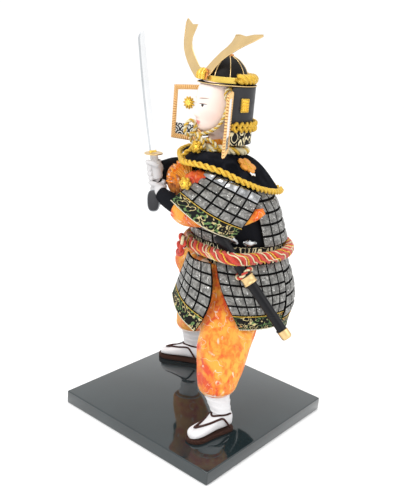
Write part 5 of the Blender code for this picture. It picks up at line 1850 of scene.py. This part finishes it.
@dataclass
class Scabbard:
    """The black scabbard, its gold fittings and the cord tied on it."""

    top: Row = (46.5, 1.4, 182.0)
    end: Row = (74.5, 66.3, 100.1)
    half_w: float = 4.6
    half_t: float = 3.0

    def frame(self) -> tuple[Matrix, float]:
        """Local Z runs from the mouth to the end; the length is in millimetres."""
        top, end = at(*self.top), at(*self.end)
        down = (end - top).normalized()
        flat = Vector((1, 0, 0)) - down * down.x
        flat.normalize()
        matrix = Matrix((down.cross(flat), flat, down)).transposed().to_4x4()
        matrix.translation = top
        return matrix, (end - top).length / MM

    def shell(self, name: str, rows: Sequence[Row], matrix: Matrix) -> Piece:
        """A closed oval form from heights and size factors."""
        rings = [[in_frame(matrix, self.half_w * w * cos(a), self.half_t * w * sin(a), z)
                  for a in angles(36)] for z, w in rows]
        return tube(name, rings)

    def build(self) -> None:
        """Builds the body with its mouth, the fitting, the cap and the cord."""
        matrix, length = self.frame()
        rows = ((2.4, 0.55), (0.6, 0.60), (0.0, 0.80), (0.0, 1.05), (0.5, 1.15), (5.6, 1.14), (6.2, 1.10),
                (6.8, 1.04), (20, 1.0), (60, 0.97), (length - 8.8, 0.94))
        body = self.shell("black_scabbard", rows, matrix)
        dress(shade(body, 50), GLOSS, ["scabbard"])
        cap = self.shell("scabbard_tip", ((length - 8.5, 0.98), (length - 8.3, 1.06), (length - 2.4, 1.06),
                                          (length - 0.8, 0.98), (length, 0.72)), matrix)
        dress(shade(cap, 50), PALE_GOLD, ["scabbard_end_cap"])
        band = self.shell("scabbard_mount", ((43.0, 1.02), (43.3, 1.36), (44.4, 1.38), (44.8, 1.28),
                                             (49.2, 1.28),
                                             (49.6, 1.38), (50.7, 1.36), (51.0, 1.02)), matrix)
        dress(shade(band, 40), PALE_GOLD, ["scabbard_fitting"])
        loop = []
        for angle in angles(40):
            loop.append(in_frame(matrix, (self.half_w + 2.4) * cos(angle), (self.half_t + 2.4) * sin(angle),
                                          40.0 + 1.2 * sin(2 * angle)))
        cord = Rope("scabbard_tie", loop, two_ply(CREAM_SILK, RED_SILK, 1.7), 7.0, True).build()
        dress(cord, [], ["scabbard_cord"])


# Cape
@dataclass
class Cape:
    """The velvet cape with its gold edge, collar cord, flower and rosettes."""

    inner: float = 14.8
    edge: tuple[Row, ...] = (
        (0, -28.5, 239.5), (14, -29, 240), (25, -28.5, 241), (33, -25.5, 242), (40, -20, 243), (46, -11, 242),
        (49.5, 0, 239.5), (49.5, 10.5, 234.5), (46, 20, 230), (39, 30.5, 225), (29, 41, 221), (18, 49.5, 218),
        (8, 55.5, 216.2), (0, 58, 216),
    )

    def rim(self, angle: float) -> Vector:
        """The cape's outer edge at an angle."""
        way = 1 if cos(angle) >= 0 else -1
        turn = math.degrees(math.atan2(sin(angle), abs(cos(angle)))) + 90
        place = min(turn / 180, 0.9999) * (len(self.edge) - 1)
        low = int(place)
        point = at(*self.edge[low]).lerp(at(*self.edge[low + 1]), place - low)
        point.x *= way
        return point

    def point(self, angle: float, share: float) -> Vector:
        """A point of the upper face between the neck and the edge."""
        neck = at(self.inner * cos(angle), 3.0 + self.inner * sin(angle), 246.6)
        point = neck.lerp(self.rim(angle), share)
        rear = 0.5 + 0.5 * sin(angle)
        point.z += (2.5 + 4.5 * rear) * MM * sin(pi * share)
        return point

    def velvet(self) -> None:
        """The lined cape with shallow folds."""
        upper = []
        for i in range(14):
            share = i / 13
            ring = []
            for angle in angles(112):
                fold = 0.35 * MM * sin(9 * angle + 1.0) * share
                ring.append(self.point(angle, share) + Vector((0, 0, fold)))
            upper.append(ring)
        drop = Vector((0, 0, 0.0018))
        lower = [[point - drop for point in ring] for ring in reversed(upper)]
        cape = tube("velvet_cape", upper + lower, True)
        dress(shade(cape, 60), VELVET, ["cape"])

    def braids(self) -> None:
        """The twisted braid at the edge, the one down the front and the collar cord."""
        ring = []
        for angle in angles(72):
            out = Vector((cos(angle), sin(angle), -0.25)).normalized()
            ring.append(self.rim(angle) + out * 0.0036 - Vector((0, 0, 0.0009)))
        edge = Rope("cape_edge_braid", ring, two_ply(GOLD, GOLD, 2.7), 12.0, True, sides=7, steps=11).build()
        dress(edge, [], ["cape_braid"])
        front = [self.point(radians(-90), share) + Vector((0, -0.0006, 0.0024 - 0.001 * share))
                 for share in (0.22, 0.4, 0.6, 0.8, 1.0)]
        front += [front[-1] + Vector((0, -0.0022, -0.0042)), front[-1] + Vector((0, -0.0026, -0.010))]
        dress(Rope("cape_front_braid", front, two_ply(GOLD, GOLD, 2.4), 10.0).build(), [])
        collar = [self.point(2 * pi * i / 48, 0.20) + Vector((0, 0, 0.0036)) for i in range(48)]
        strands = [Strand(CREAM_SILK, 1.75, 1.75, 0.0), Strand(GOLD, 1.6, 1.8, 0.36),
                   Strand(CREAM_SILK, 1.6, 1.8, 0.68)]
        dress(Rope("collar_twist", collar, strands, 16.0, True).build(), [], ["collar_cord"])

    def flower(self) -> None:
        """The raised flower on the left shoulder, with a silver leaf."""
        angle = radians(33)
        middle = self.point(angle, 0.62)
        along = (self.point(angle + 0.15, 0.62) - self.point(angle - 0.15, 0.62)).normalized()
        down = (self.point(angle, 0.85) - self.point(angle, 0.4)).normalized()
        normal = along.cross(down)
        if normal.z < 0:
            normal = -normal
        outline = []
        for turn in angles(90):
            size = 6.0 + 2.6 * abs(cos(2.5 * turn)) ** 0.7
            outline.append((size * 1.25 * cos(turn), size * 0.95 * sin(turn)))
        matrix = plane_matrix(middle + normal * 0.0012, along, down)
        flower = plate("shoulder_flower", outline, 0.0016, matrix, 0.0005)
        parts = [coat(flower, ORANGE_GOLD)]
        for k in range(5):
            turn = 2 * pi * (k + 0.5) / 5
            vein = [matrix @ Vector((r * cos(turn) * MM, r * sin(turn) * MM, 0.0009 * side))
                    for side in (1 if facing(matrix).dot(normal) > 0 else -1,)
                    for r in (1.0, 2.5, 4.0, 5.4)]
            parts.append(coat(sweep("shoulder_flower", vein, 0.0005, 6), GOLD))
        dress(shade(join("shoulder_flower", parts), 40), [], ["cape_emblem"])
        leaf_place = matrix @ Vector((0.0016, 0.0098, 0.0))
        leaf = plate("flower_leaf", [(-3.4, -1.2), (-1.2, -2.4), (0.4, -1.0), (2.0, -2.6), (3.8, -1.0),
                                     (2.4, 1.4),
                                     (0.2, 0.6), (-1.8, 1.8)], 0.0010,
                     plane_matrix(leaf_place, along, down), 0.0002)
        dress(shade(leaf, 40), SILVER)

    def rosette(self, name: str, node: str, place: Row) -> None:
        """A flower-shaped knot of doubled gold cord.

        Args:
            name: The piece's name.
            node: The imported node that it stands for.
            place: Its middle in millimetres.
        """
        middle = at(*place)
        outward_way = Vector((0.75, -0.45, 0.45)).normalized()
        matrix = plane_matrix(middle, outward_way.cross(Vector((0, 0, 1))), Vector((0, 0, 1)))
        if facing(matrix).dot(outward_way) < 0:
            matrix = matrix @ Matrix.Rotation(pi, 4, "Y")
        parts = []
        for layer, (reach, height) in enumerate(((4.3, 0.0), (2.9, 1.6))):
            loop = []
            for turn in angles(80):
                size = reach * (0.82 + 0.24 * cos(6 * turn + layer * pi))
                loop.append(in_frame(matrix, size * cos(turn), size * sin(turn),
                                              height + 0.5 * cos(12 * turn)))
            parts.append(sweep(name, loop, 0.00145, 8, True))
        deselect()
        bpy.ops.mesh.primitive_ico_sphere_add(subdivisions=3, radius=0.0030)
        bud = bpy.context.object
        for vert in bud.data.vertices:
            vert.co *= 1.0 + 0.08 * sin(8 * math.atan2(vert.co.y, vert.co.x))
        moved(bud, matrix @ Matrix.Translation((0, 0, 0.0009)))
        parts.append(bud)
        for part in parts:
            part.data.materials.clear()
            coat(part, GOLD)
        dress(shade(join(name, parts)), [], [node])

    def build(self) -> None:
        """Builds the cape and its trimmings."""
        self.velvet()
        self.braids()
        self.flower()
        self.rosette("collar_rosette", "upper_pompom", (20.0, -20.5, 251.4))
        self.rosette("shoulder_rosette", "lower_pompom", (33.5, -29.0, 222.0))


# Head and helmet, in the head's own frame
@dataclass
class DollHead:
    """The head with a calm, plainly proportioned face, and its standing collar."""

    sections: tuple[Row, ...] = (
        (244.8, -2.0, 8.5, 8.5), (253, -2.4, 8.4, 8.7), (259.5, -3.4, 8.6, 9.4), (262.6, -6.2, 9.0, 11.4),
        (265, -8.2, 9.8, 13.4), (268.5, -9.0, 12.0, 15.6), (274, -8.8, 14.4, 17.3), (280, -8.2, 16, 18.8),
        (290, -8, 16.7, 19.4), (298, -7, 16.5, 19.2), (304.2, -5.8, 15.8, 18.0), (307.5, -2.5, 15.4, 15.8),
        (312, 0.0, 15.0, 15.2), (317, 0.0, 13.0, 13.0), (322, 0.0, 9.6, 9.6), (325.5, 0.0, 5.0, 5.0),
    )
    bumps: tuple[Row, ...] = (
        (0.0, 284.0, 1.5, 6.0, 1.5), (0.0, 278.4, 1.9, 2.6, 2.7), (2.1, 277.2, 1.3, 1.3, 0.8),
        (6.4, 287.0, 3.3, 2.2, -1.0), (6.4, 286.6, 2.6, 1.3, 0.75), (6.5, 292.6, 4.5, 1.6, 0.45),
        (0.0, 272.7, 3.8, 0.85, 0.95), (0.0, 270.8, 3.1, 0.9, 0.95), (0.0, 271.75, 4.4, 0.35, -0.5),
        (0.0, 268.6, 3.6, 0.9, -0.45), (0.0, 265.2, 4.2, 2.3, 0.9), (9.8, 279.5, 4.4, 5.0, 0.5),
    )

    def skin(self) -> None:
        """A smooth skin through the sections, with the features raised on its front."""
        rings = []
        for height, y, half_x, half_y in blend_rows(self.sections, 7):
            ring = []
            for angle in angles(112):
                across, deep = half_x * cos(angle), half_y * sin(angle)
                front = min(1.0, max(0.0, -sin(angle) * 1.5 - 0.25))
                push = sum(bump[4] * exp(-((abs(across) - bump[0]) / bump[2]) ** 2
                                              - ((height - bump[1]) / bump[3]) ** 2) for bump in self.bumps)
                ring.append(head_matrix() @ at(across, y + deep - push * front, height))
            rings.append(ring)
        head = tube("doll_head", rings)
        ears = [head]
        for way in (1, -1):
            points = []
            for i in range(20):
                turn = radians(-70 + 250 * i / 19)
                points.append(head_matrix() @ at(way * (16.9 + 0.5 * sin(turn)), -4.6 + 2.6 * cos(turn),
                                                 284.4 + 4.8 * sin(turn)))
            ears.append(sweep("ear", points, 0.00095, 8, taper=lambda s: 1.0 - 0.35 * (2 * s - 1) ** 2))
        head = join("doll_head", ears)
        skin = PaintedFace("ivory_skin", (0.84, 0.70, 0.64), 0.38, place=tuple(head_matrix().translation),
                           turn=HEAD_TURN)
        dress(shade(head), skin, ["head"])

    def collar(self) -> None:
        """The orange standing collar, one closed ring round the neck."""
        rings = []
        for z, grow in ((244.8, 0.5), (244.8, 1.4), (248, 1.6), (255, 2.0), (258.2, 2.2), (258.9, 1.8),
                        (258.2, 1.2),
                        (250, 0.8)):
            rings.append([head_matrix() @ (at((8.5 + grow) * cos(a), -2.6 + (9 + grow) * sin(a),
                                              z - 2.6 * max(0.0, -sin(a)) ** 3 * (z > 250)))
                          for a in angles(56)])
        dress(shade(tube("standing_collar", rings, True), 60), SATIN, ["under_collar"])

    def build(self) -> None:
        """Builds the head and the collar."""
        self.skin()
        self.collar()


STEPS_ROUND = [3.75 * k for k in range(96)]  # degrees


@dataclass
class Helmet:
    """The ribbed bowl, its brim, the neck guard and their braids."""

    radius: float = 18.0
    height: float = 22.5
    base: float = 306.2
    profile: tuple[Row, ...] = ((1.0, 0.0), (1.005, 0.12), (0.94, 0.34), (0.79, 0.58), (0.51, 0.82),
                                (0.23, 0.95),
                                (0.10, 0.985), (0.0, 1.0))

    def spot(self, reach: float, degrees: float, height: float) -> Vector:
        """A point at a distance, an angle and a height round the helmet's axis."""
        angle = radians(degrees)
        return head_matrix() @ at(reach * cos(angle), reach * sin(angle), height)

    def bowl(self) -> None:
        """The bowl with raised seams, their gilt cords and the rosette on top."""
        rows = blend_rows(self.profile, 5)[:-1]
        rings = []
        for reach, rise in rows:
            ring = []
            for degrees in STEPS_ROUND:
                seam = 1 - 0.012 * abs(cos(radians(4 * degrees)))
                ring.append(self.spot(self.radius * max(0.012, reach) * seam, degrees,
                                      self.base + self.height * rise))
            rings.append(ring)
        bowl = tube("helmet_crown", rings)
        dress(shade(bowl, 50), CROWN_BLACK, ["helmet_bowl"])
        cords = []
        for k in range(8):
            path = [self.spot(self.radius * reach + 0.12, 22.5 + 45 * k, self.base + self.height * rise)
                    for reach, rise in rows]
            cords.append(coat(sweep("crown_seams", path, 0.00042, 6), PALE_GOLD))
        knot = []
        for i in range(60):
            turn = 6 * i
            knot.append(self.spot(2.3 + 0.7 * cos(radians(5 * turn)), turn, self.base + self.height + 0.1))
        knot_cord = sweep("crown_seams", knot, 0.00085, 8, True)
        coat(knot_cord, ORANGE_BRAID)
        dress(shade(join("crown_seams", cords + [knot_cord])), [])

    def wall(self, name: str, reach: float, thick: float, low: float, high: float, start: float,
             end: float) -> Piece:
        """A curved wall between two angles, with rounded edges.

        Args:
            name: The piece's name.
            reach: Inner radius in millimetres.
            thick: Thickness in millimetres.
            low: Height of its foot.
            high: Height of its top.
            start: First angle in degrees.
            end: Last angle in degrees.

        Returns:
            The wall.
        """
        rings = []
        for i in range(65):
            degrees = start + (end - start) * i / 64
            ring = []
            for out, z in ((0, low + 0.3), (thick * 0.5, low), (thick, low + 0.3),
                           (thick, (low * 2 + high) / 3),
                           (thick, (low + high * 2) / 3), (thick, high - 0.3), (thick * 0.5, high),
                           (0, high - 0.3)):
                ring.append(self.spot(reach + out, degrees, z))
            rings.append(ring)
        return tube(name, rings)

    def brim(self) -> None:
        """The black brim and the gilt line under it, with the satin band above."""
        rings = []
        for degrees in STEPS_ROUND:
            rings.append([self.spot(reach, degrees, z) for reach, z in (
                (16.8, 304.6), (16.8, 305.8), (21, 305.9), (25.0, 305.8), (25.6, 305.2), (25.0, 304.6),
                (21, 304.5))])
        dress(shade(tube("black_brim", rings, True), 50), VELVET, ["helmet_brim"])
        line = [self.spot(25.7, degrees, 305.1) for degrees in STEPS_ROUND]
        dress(shade(sweep("brim_line", line, 0.00045, 6, True)), PALE_GOLD)
        band = self.wall("front_band", self.radius + 0.3, 1.2, self.base, self.base + 5.2, 184, 356)
        dress(shade(band, 50), SATIN_GOLD, ["helmet_band"])

    def braids(self) -> None:
        """The thick braid at the back of the bowl and the chained one on the guard."""
        path = [self.spot(self.radius + 4.3, -6 + 192 * i / 40, self.base + 4.2) for i in range(41)]
        strands = [Strand(GOLD, 2.3, 2.3, k / 3) for k in range(3)]
        dress(Rope("back_braid", path, strands, 15.0).build(), [], ["guard_upper_braid"])
        chains = []
        for phase in (0.0, pi):
            points = []
            for i in range(221):
                degrees = -14 + 208 * i / 220
                wave = radians(degrees) * 16 + phase
                points.append(self.spot(27.6 + 0.9 * sin(2 * wave), degrees, 271.4 + 3.4 * sin(wave)))
            chains.append(coat(sweep("chained_braid", points, 0.0014, 8), GOLD))
        dress(shade(join("chained_braid", chains)), [], ["guard_lower_braid"])

    def guard(self) -> None:
        """The neck guard, its patterned foot and its square badge."""
        upper = self.wall("neck_guard_shell", 24.0, 1.2, 266.4, 304.2, -16, 196)
        lower = self.wall("neck_guard_shell", 24.0, 1.35, 255.5, 267.0, -16, 196)
        shell = join("neck_guard_shell", [coat(upper, GUARD_BLACK), coat(lower, BAND_PAISLEY)])
        dress(shade(shell, 50), [], ["neck_guard"])
        parts = []
        for degrees in (10.0, 170.0):
            middle = self.spot(25.9, degrees, 289.5)
            tangent = (self.spot(25, degrees + 5, 0) - self.spot(25, degrees - 5, 0)).normalized()
            place = plane_matrix(middle, tangent, (0, 0, 1))
            badge = plate("square_badge", [(-4.1, -5.8), (4.1, -5.8), (4.1, 5.8), (-4.1, 5.8)], 0.0013,
                          place, 0.0004)
            parts.append(coat(badge, SATIN_GOLD))
            way = 1.0 if facing(place).dot(middle - self.spot(0, 0, 289.5)) > 0 else -1.0
            border = [in_frame(place, u, v, 0.75 * way)
                      for u, v in ((-3.5, -5.2), (0, -5.2), (3.5, -5.2), (3.5, 0), (3.5, 5.2), (0, 5.2),
                                   (-3.5, 5.2),
                                   (-3.5, 0))]
            parts.append(coat(sweep("square_badge", border, 0.0006, 6, True), GOLD))
            for column in range(3):
                for row in range(4):
                    bead = bead_at(in_frame(place, -2.0 + 2.0 * column, -3.3 + 2.2 * row, 0.8 * way), 0.0009)
                    parts.append(coat(bead, GOLD))
        dress(shade(join("square_badges", parts), 40), [])

    def build(self) -> None:
        """Builds the helmet from the bowl down."""
        self.bowl()
        self.brim()
        self.braids()
        self.guard()


RIB_STEPS = 6  # rings in one rib of the plates' frames


@dataclass
class SidePlate:
    """One turned-back plate: a ribbed braid frame round white cloth with a gold flower."""

    side: Side
    width: float = 32.5
    height: float = 51.5
    frame: float = 5.2
    pitch: float = 2.4

    @property
    def slope(self) -> float:
        """How much lower the outer top corner lies."""
        return 0.0 if self.side is Side.LEFT else 3.0

    def matrix(self) -> Matrix:
        """The plate's plane, X running outwards and Y up."""
        way, angle, turn = self.side.way, radians(16), radians(35.5)
        ahead = Vector((way * cos(turn), -sin(turn), 0))
        hinge = Vector((way * 24 * cos(angle), -24 * sin(angle), 0)) + ahead * 1.6
        return head_matrix() @ plane_matrix(at(hinge.x, hinge.y, 249.5), ahead, (0, 0, 1))

    def outward_sign(self) -> float:
        """Which way the shown face lies along the plate's Z."""
        normal = head_matrix().to_3x3().inverted() @ facing(self.matrix())
        return 1.0 if normal.y < 0 else -1.0

    def ribbed_frame(self) -> None:
        """A braid frame, its ribs in a lit copy of the braid's finish and the grooves between them in a
        darker copy, painted shade.
        """
        w, h, f, s = self.width, self.height, self.frame, self.slope
        outer = [(0, 0), (w, 0), (w, h - s), (0, h)]
        inner = [(f, f), (w - f, f), (w - f, h - f - s * 0.7), (f, h - f)]
        rings = []
        for k in range(4):
            a, b = Vector(outer[k]), Vector(outer[(k + 1) % 4])
            c, d = Vector(inner[k]), Vector(inner[(k + 1) % 4])
            ribs = max(4, round((b - a).length / self.pitch))
            for i in range(ribs * RIB_STEPS):
                t = i / (ribs * RIB_STEPS)
                high = 0.62 + 0.72 * abs(sin(pi * t * ribs))
                out, into = a.lerp(b, t), c.lerp(d, t)
                ring = []
                for part, tall in ((0.0, 0.35), (0.14, 0.9), (0.5, 1.0), (0.86, 0.9), (1.0, 0.35),
                                   (0.86, -0.9),
                                   (0.5, -1.0), (0.14, -0.9)):
                    spot = out.lerp(into, part)
                    ring.append(in_frame(self.matrix(), spot.x, spot.y, tall * high))
                rings.append(ring)
        frame_piece = tube(f"{self.side.value}_ribbed_frame", rings, True)
        coat(frame_piece, LIT_FRAME_BRAID)
        coat(frame_piece, SHADED_BRAID_GROOVE)
        # Painted shade: the faces at each rib's ends, the grooves, take the shaded copy of the braid.
        for face, share in zip(frame_piece.data.polygons, face_shares(frame_piece, 1)):
            face.material_index = 1 if int(share * len(rings)) % RIB_STEPS in (0, RIB_STEPS - 1) else 0
        dress(shade(frame_piece, 70), [], [f"{self.side.value}_plate_frame"])

    def cloth(self) -> None:
        """The white cloth with its wave border and the flower on it."""
        w, h, f, s = self.width, self.height, self.frame, self.slope
        edge = f - 0.6
        outline = [(edge, edge), (w - edge, edge), (w - edge, h - edge - s * 0.7), (edge, h - edge)]
        name = f"{self.side.value}_white_plate"
        parts = [coat(plate(name, outline, 0.0010, self.matrix(), 0.0), PLATE_CLOTH)]
        sign = self.outward_sign()
        for layer, (count, reach, size, lift) in enumerate(((11, 4.8, 2.5, 1.0), (8, 2.9, 2.2, 1.9))):
            for k in range(count):
                turn = 2 * pi * (k + 0.5 * layer) / count
                path = [in_frame(self.matrix(), w * 0.48 + r * cos(turn), h * 0.66 + r * sin(turn),
                                                 sign * (lift + 0.35 * sin(pi * r / reach)))
                        for r in [reach * (0.25 + 0.95 * i / 5) for i in range(6)]]
                petal = sweep(name, path, size * 0.42 * MM, 8,
                              taper=lambda t: max(0.18, sin(pi * (0.12 + 0.80 * t))) ** 0.6)
                parts.append(coat(petal, SATIN_GOLD if layer else GOLD))
        deselect()
        bpy.ops.mesh.primitive_ico_sphere_add(subdivisions=3, radius=0.0016)
        heart = bpy.context.object
        for vert in heart.data.vertices:
            vert.co.z *= 0.6
        moved(heart, self.matrix() @ Matrix.Translation(Vector((w * 0.48, h * 0.66, sign * 2.0)) * MM))
        parts.append(coat(heart, SATIN_GOLD))
        dress(shade(join(name, parts), 45), [], [f"{self.side.value}_side_plate"])

    def build(self) -> None:
        """Builds the frame and the cloth."""
        self.ribbed_frame()
        self.cloth()


@dataclass
class Horns:
    """The two flat gilt horns and the looped ornament at their feet."""

    left: tuple[Row, ...] = (
        (0.5, 1.5), (6.0, 4.5), (11.2, 12.2), (16.2, 18.2), (22.5, 22.8), (33.5, 29.3), (41.5, 33.2),
        (50.5, 37.0), (59.1, 41.4), (58.5, 42.4), (47.9, 41.7), (38.7, 39.8), (30.2, 40.9), (25.1, 40.6),
        (24.8, 38.5), (23.0, 34.3), (19.5, 30.4), (12.7, 25.1), (5.4, 17.7), (-0.6, 10.5))
    right: tuple[Row, ...] = (
        (-2.0, 1.5), (-6.5, 0.8), (-12.5, 1.6), (-21.5, 6.8), (-30.2, 12.8), (-37.0, 18.5), (-42.6, 24.4),
        (-46.6, 31.4), (-49.8, 40.3), (-52.0, 47.5), (-51.3, 51.2), (-41.0, 46.0), (-33.4, 46.4),
        (-34.6, 41.2), (-35.6, 35.7), (-34.2, 30.4), (-30.2, 25.0), (-24.4, 20.1), (-18.2, 15.6),
        (-10.5, 10.2), (-2.2, 9.0))

    def matrix(self, off: float = 0.0) -> Matrix:
        """The horns' leaning plane, moved forwards by so many millimetres."""
        turn = radians(30)
        across = Vector((cos(turn), sin(turn), 0))
        up = (Vector((-sin(turn), cos(turn), 0)) * 0.30 + Vector((0, 0, 1))).normalized()
        return plane_matrix(at(8.2, -18.6, 306.7) + across.cross(up) * off * MM, across, up)

    def build(self) -> None:
        """Cuts the horns, rolls a bead along their edges and loops the ornament."""
        for name, outline in (("left", self.left), ("right", self.right)):
            horn = plate(f"{name}_gilt_horn", outline, 0.0007, self.matrix(), 0.0002)
            rim = sweep(horn.name, [in_frame(self.matrix(), u, v, 0) for u, v in outline], 0.00050, 6, True)
            for part in (horn, rim):
                coat(part, PALE_GOLD)
            dress(shade(join(horn.name, [horn, rim]), 50), [], [f"{name}_horn"])
        shape = [(-0.8 + 6.2 * cos(pi * i / 24), 3.4 + 6.9 * sin(pi * i / 24)) for i in range(25)]
        shape += [(-6.8, 0.3), (5.2, 0.3)]
        back = plate("looped_crest", shape, 0.0012, self.matrix(1.35), 0.0003)
        coat(back, ORANGE_BRAID)
        parts = [back]
        for k in range(5):
            x = -5.4 + 2.3 * k
            tall = 3.4 + 6.9 * sqrt(max(0.1, 1 - ((x + 0.8) / 6.4) ** 2))
            path = [in_frame(self.matrix(), x + 0.25 * sin(6 * t), 0.6 + (tall - 1.2) * t,
                                             2.5 + 1.4 * sin(pi * t)) for t in
                    [i / 14 for i in range(15)]]
            loop = sweep(back.name, path, 0.00112, 8)
            parts.append(coat(loop, SATIN_GOLD if k % 2 else GOLD))
        dress(shade(join("looped_crest", parts), 45), [], ["crest_ornament"])


@dataclass
class ChinCord:
    """The cream and gold cord down both cheeks, with its ring, bow and temple loops."""

    half: tuple[Row, ...] = (
        (18.4, -6.5, 303.4), (19, -7.5, 295), (19, -9, 286), (18.4, -11, 277.5), (16.2, -14.5, 270),
        (11, -20.5, 264.6), (5, -25.5, 262.2))

    def spot(self, x: float, y: float, z: float) -> Vector:
        """A point in the head's frame."""
        return head_matrix() @ at(x, y, z)

    def strands(self, radius: float) -> list[Strand]:
        """A cream and a gold strand."""
        return [Strand(CREAM_SILK, radius * 0.60, radius * 0.42, 0.0),
                Strand(GOLD, radius * 0.44, radius * 0.58, 0.5)]

    def build(self) -> None:
        """Runs the cord and ties its ring and its bow."""
        points = [self.spot(*row) for row in self.half] + [self.spot(0, -26.6, 261.8)]
        points += [self.spot(-row[0], row[1], row[2]) for row in reversed(self.half)]
        path = even_path(points, 61)
        cord = Rope("chin_twist", path, self.strands(1.6), 5.0, steps=10).build()
        dress(cord, [], ["chin_cord"])
        ring = [self.spot(-1.0 + 1.5 * sin(a), -32.0 + 4.8 * cos(a), 266.5 + 6.6 * sin(a))
                for a in angles(24)]
        parts = [Rope("chin_bow", ring, self.strands(1.7), 6.0, True).build()]
        loops = (
            ((2.0, -24.5, 259.0), (7.0, -27.0, 261.0), (12.5, -25.0, 256.0), (9.0, -22.5, 249.5),
             (3.5, -23.0, 253.5)),
            ((-2.0, -24.5, 259.0), (-7.0, -27.0, 261.0), (-12.5, -25.0, 256.0), (-9.0, -22.5, 249.5),
             (-3.5, -23.0, 253.5)),
            ((3.5, -22.5, 256.0), (12.0, -19.5, 258.5), (17.5, -14.5, 253.5), (13.0, -16.5, 248.8),
             (6.0, -21.0, 251.0)),
        )
        for loop in loops:
            line = even_path([self.spot(*row) for row in loop], 28, True)
            parts.append(Rope("chin_bow", line, self.strands(1.7), 6.0, True).build())
        for way in (1.0, -1.0):
            temple = [self.spot(way * (19.4 + 0.4 * sin(a)), -8.5 - 3.0 * cos(a), 297.5 + 5.2 * sin(a))
                      for a in angles(20)]
            parts.append(Rope("chin_bow", temple, self.strands(1.3), 6.0, True).build())
        dress(join("chin_bow", parts), [])


def main() -> None:
    """Builds the studio and the doll's sub-assemblies in order."""
    logging.basicConfig(level=logging.INFO, format="%(message)s")
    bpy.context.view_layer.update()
    left_arm = Arm(
        Side.LEFT,
        ((46.5, 38, 204.8, 2.4, 2.8), (44.8, 30, 200.3, 3.8, 5.4), (43.2, 16, 196, 5.6, 7.8),
         (40.2, 2, 195, 7.8, 9.8),
         (36.6, -10, 195, 8.8, 9.8), (28.8, -25, 194, 9.3, 10.8), (22.3, -33, 197.2, 8.3, 9.2)),
        ((25.5, -29.5, 196.5, 5.6, 6.2), (21.4, -34.8, 198.7, 7.0, 7.6), (15, -42, 202.5, 7.4, 7.8),
         (8.5, -48.4, 206, 5.6, 6.4)),
        ((9.6, -47.2, 206.4, 4.6, 5.4), (5.5, -49.6, 207.2, 5.4, 6.6), (1.5, -51.0, 207.4, 4.4, 6.2),
         (-1.0, -51.6, 207.4, 2.6, 4.6)), -40.0, -27.5, 60.0, SATIN)
    right_arm = Arm(
        Side.RIGHT,
        ((-40, 21, 208, 5, 5), (-42.5, 12, 204, 7, 8), (-43.5, 0, 202, 8.5, 9.5), (-41, -12, 204, 8.5, 10.5),
         (-36.5, -20.5, 210, 9, 11.5)),
        ((-37.2, -23.2, 213.6, 12, 15), (-24, -36, 219.5, 10.5, 14), (-9, -50, 224, 6.5, 8)),
        ((-9.5, -50.2, 224.2, 4.8, 5.8), (-6.0, -53.2, 224.8, 6.4, 8.2), (-3.0, -55.4, 225.2, 5.6, 8.2),
         (-0.5, -56.6, 225.4, 3.4, 6.4)), -21.5, -8.5, 120.0, SATIN)
    steps = (
        ("studio", Studio()),
        ("board", LacquerBoard()),
        ("left foot", SandalledFoot(Side.LEFT, (56.5, 27.0), (84.0, -14.0), (60.5, 10.0))),
        ("right foot", SandalledFoot(Side.RIGHT, (-70.2, 12.7), (-84.9, -34.6), (-71.5, -1.0))),
        ("trousers", BrocadeTrousers()),
        ("body", StuffedBody()),
        ("armour", ScaleArmour()),
        ("waist", WaistDress()),
        ("left arm", left_arm),
        ("right arm", right_arm),
        ("hand guard", HandGuard()),
        ("under-robe", RobeFront()),
        ("sword", Sword()),
        ("scabbard", Scabbard()),
        ("cape", Cape()),
        ("head", DollHead()),
        ("helmet", Helmet()),
        ("left plate", SidePlate(Side.LEFT)),
        ("right plate", SidePlate(Side.RIGHT)),
        ("horns", Horns()),
        ("chin cord", ChinCord()),
    )
    for name, part in steps:
        part.build()
        LOG.info("%s done", name)


if __name__ == "__main__":
    main()
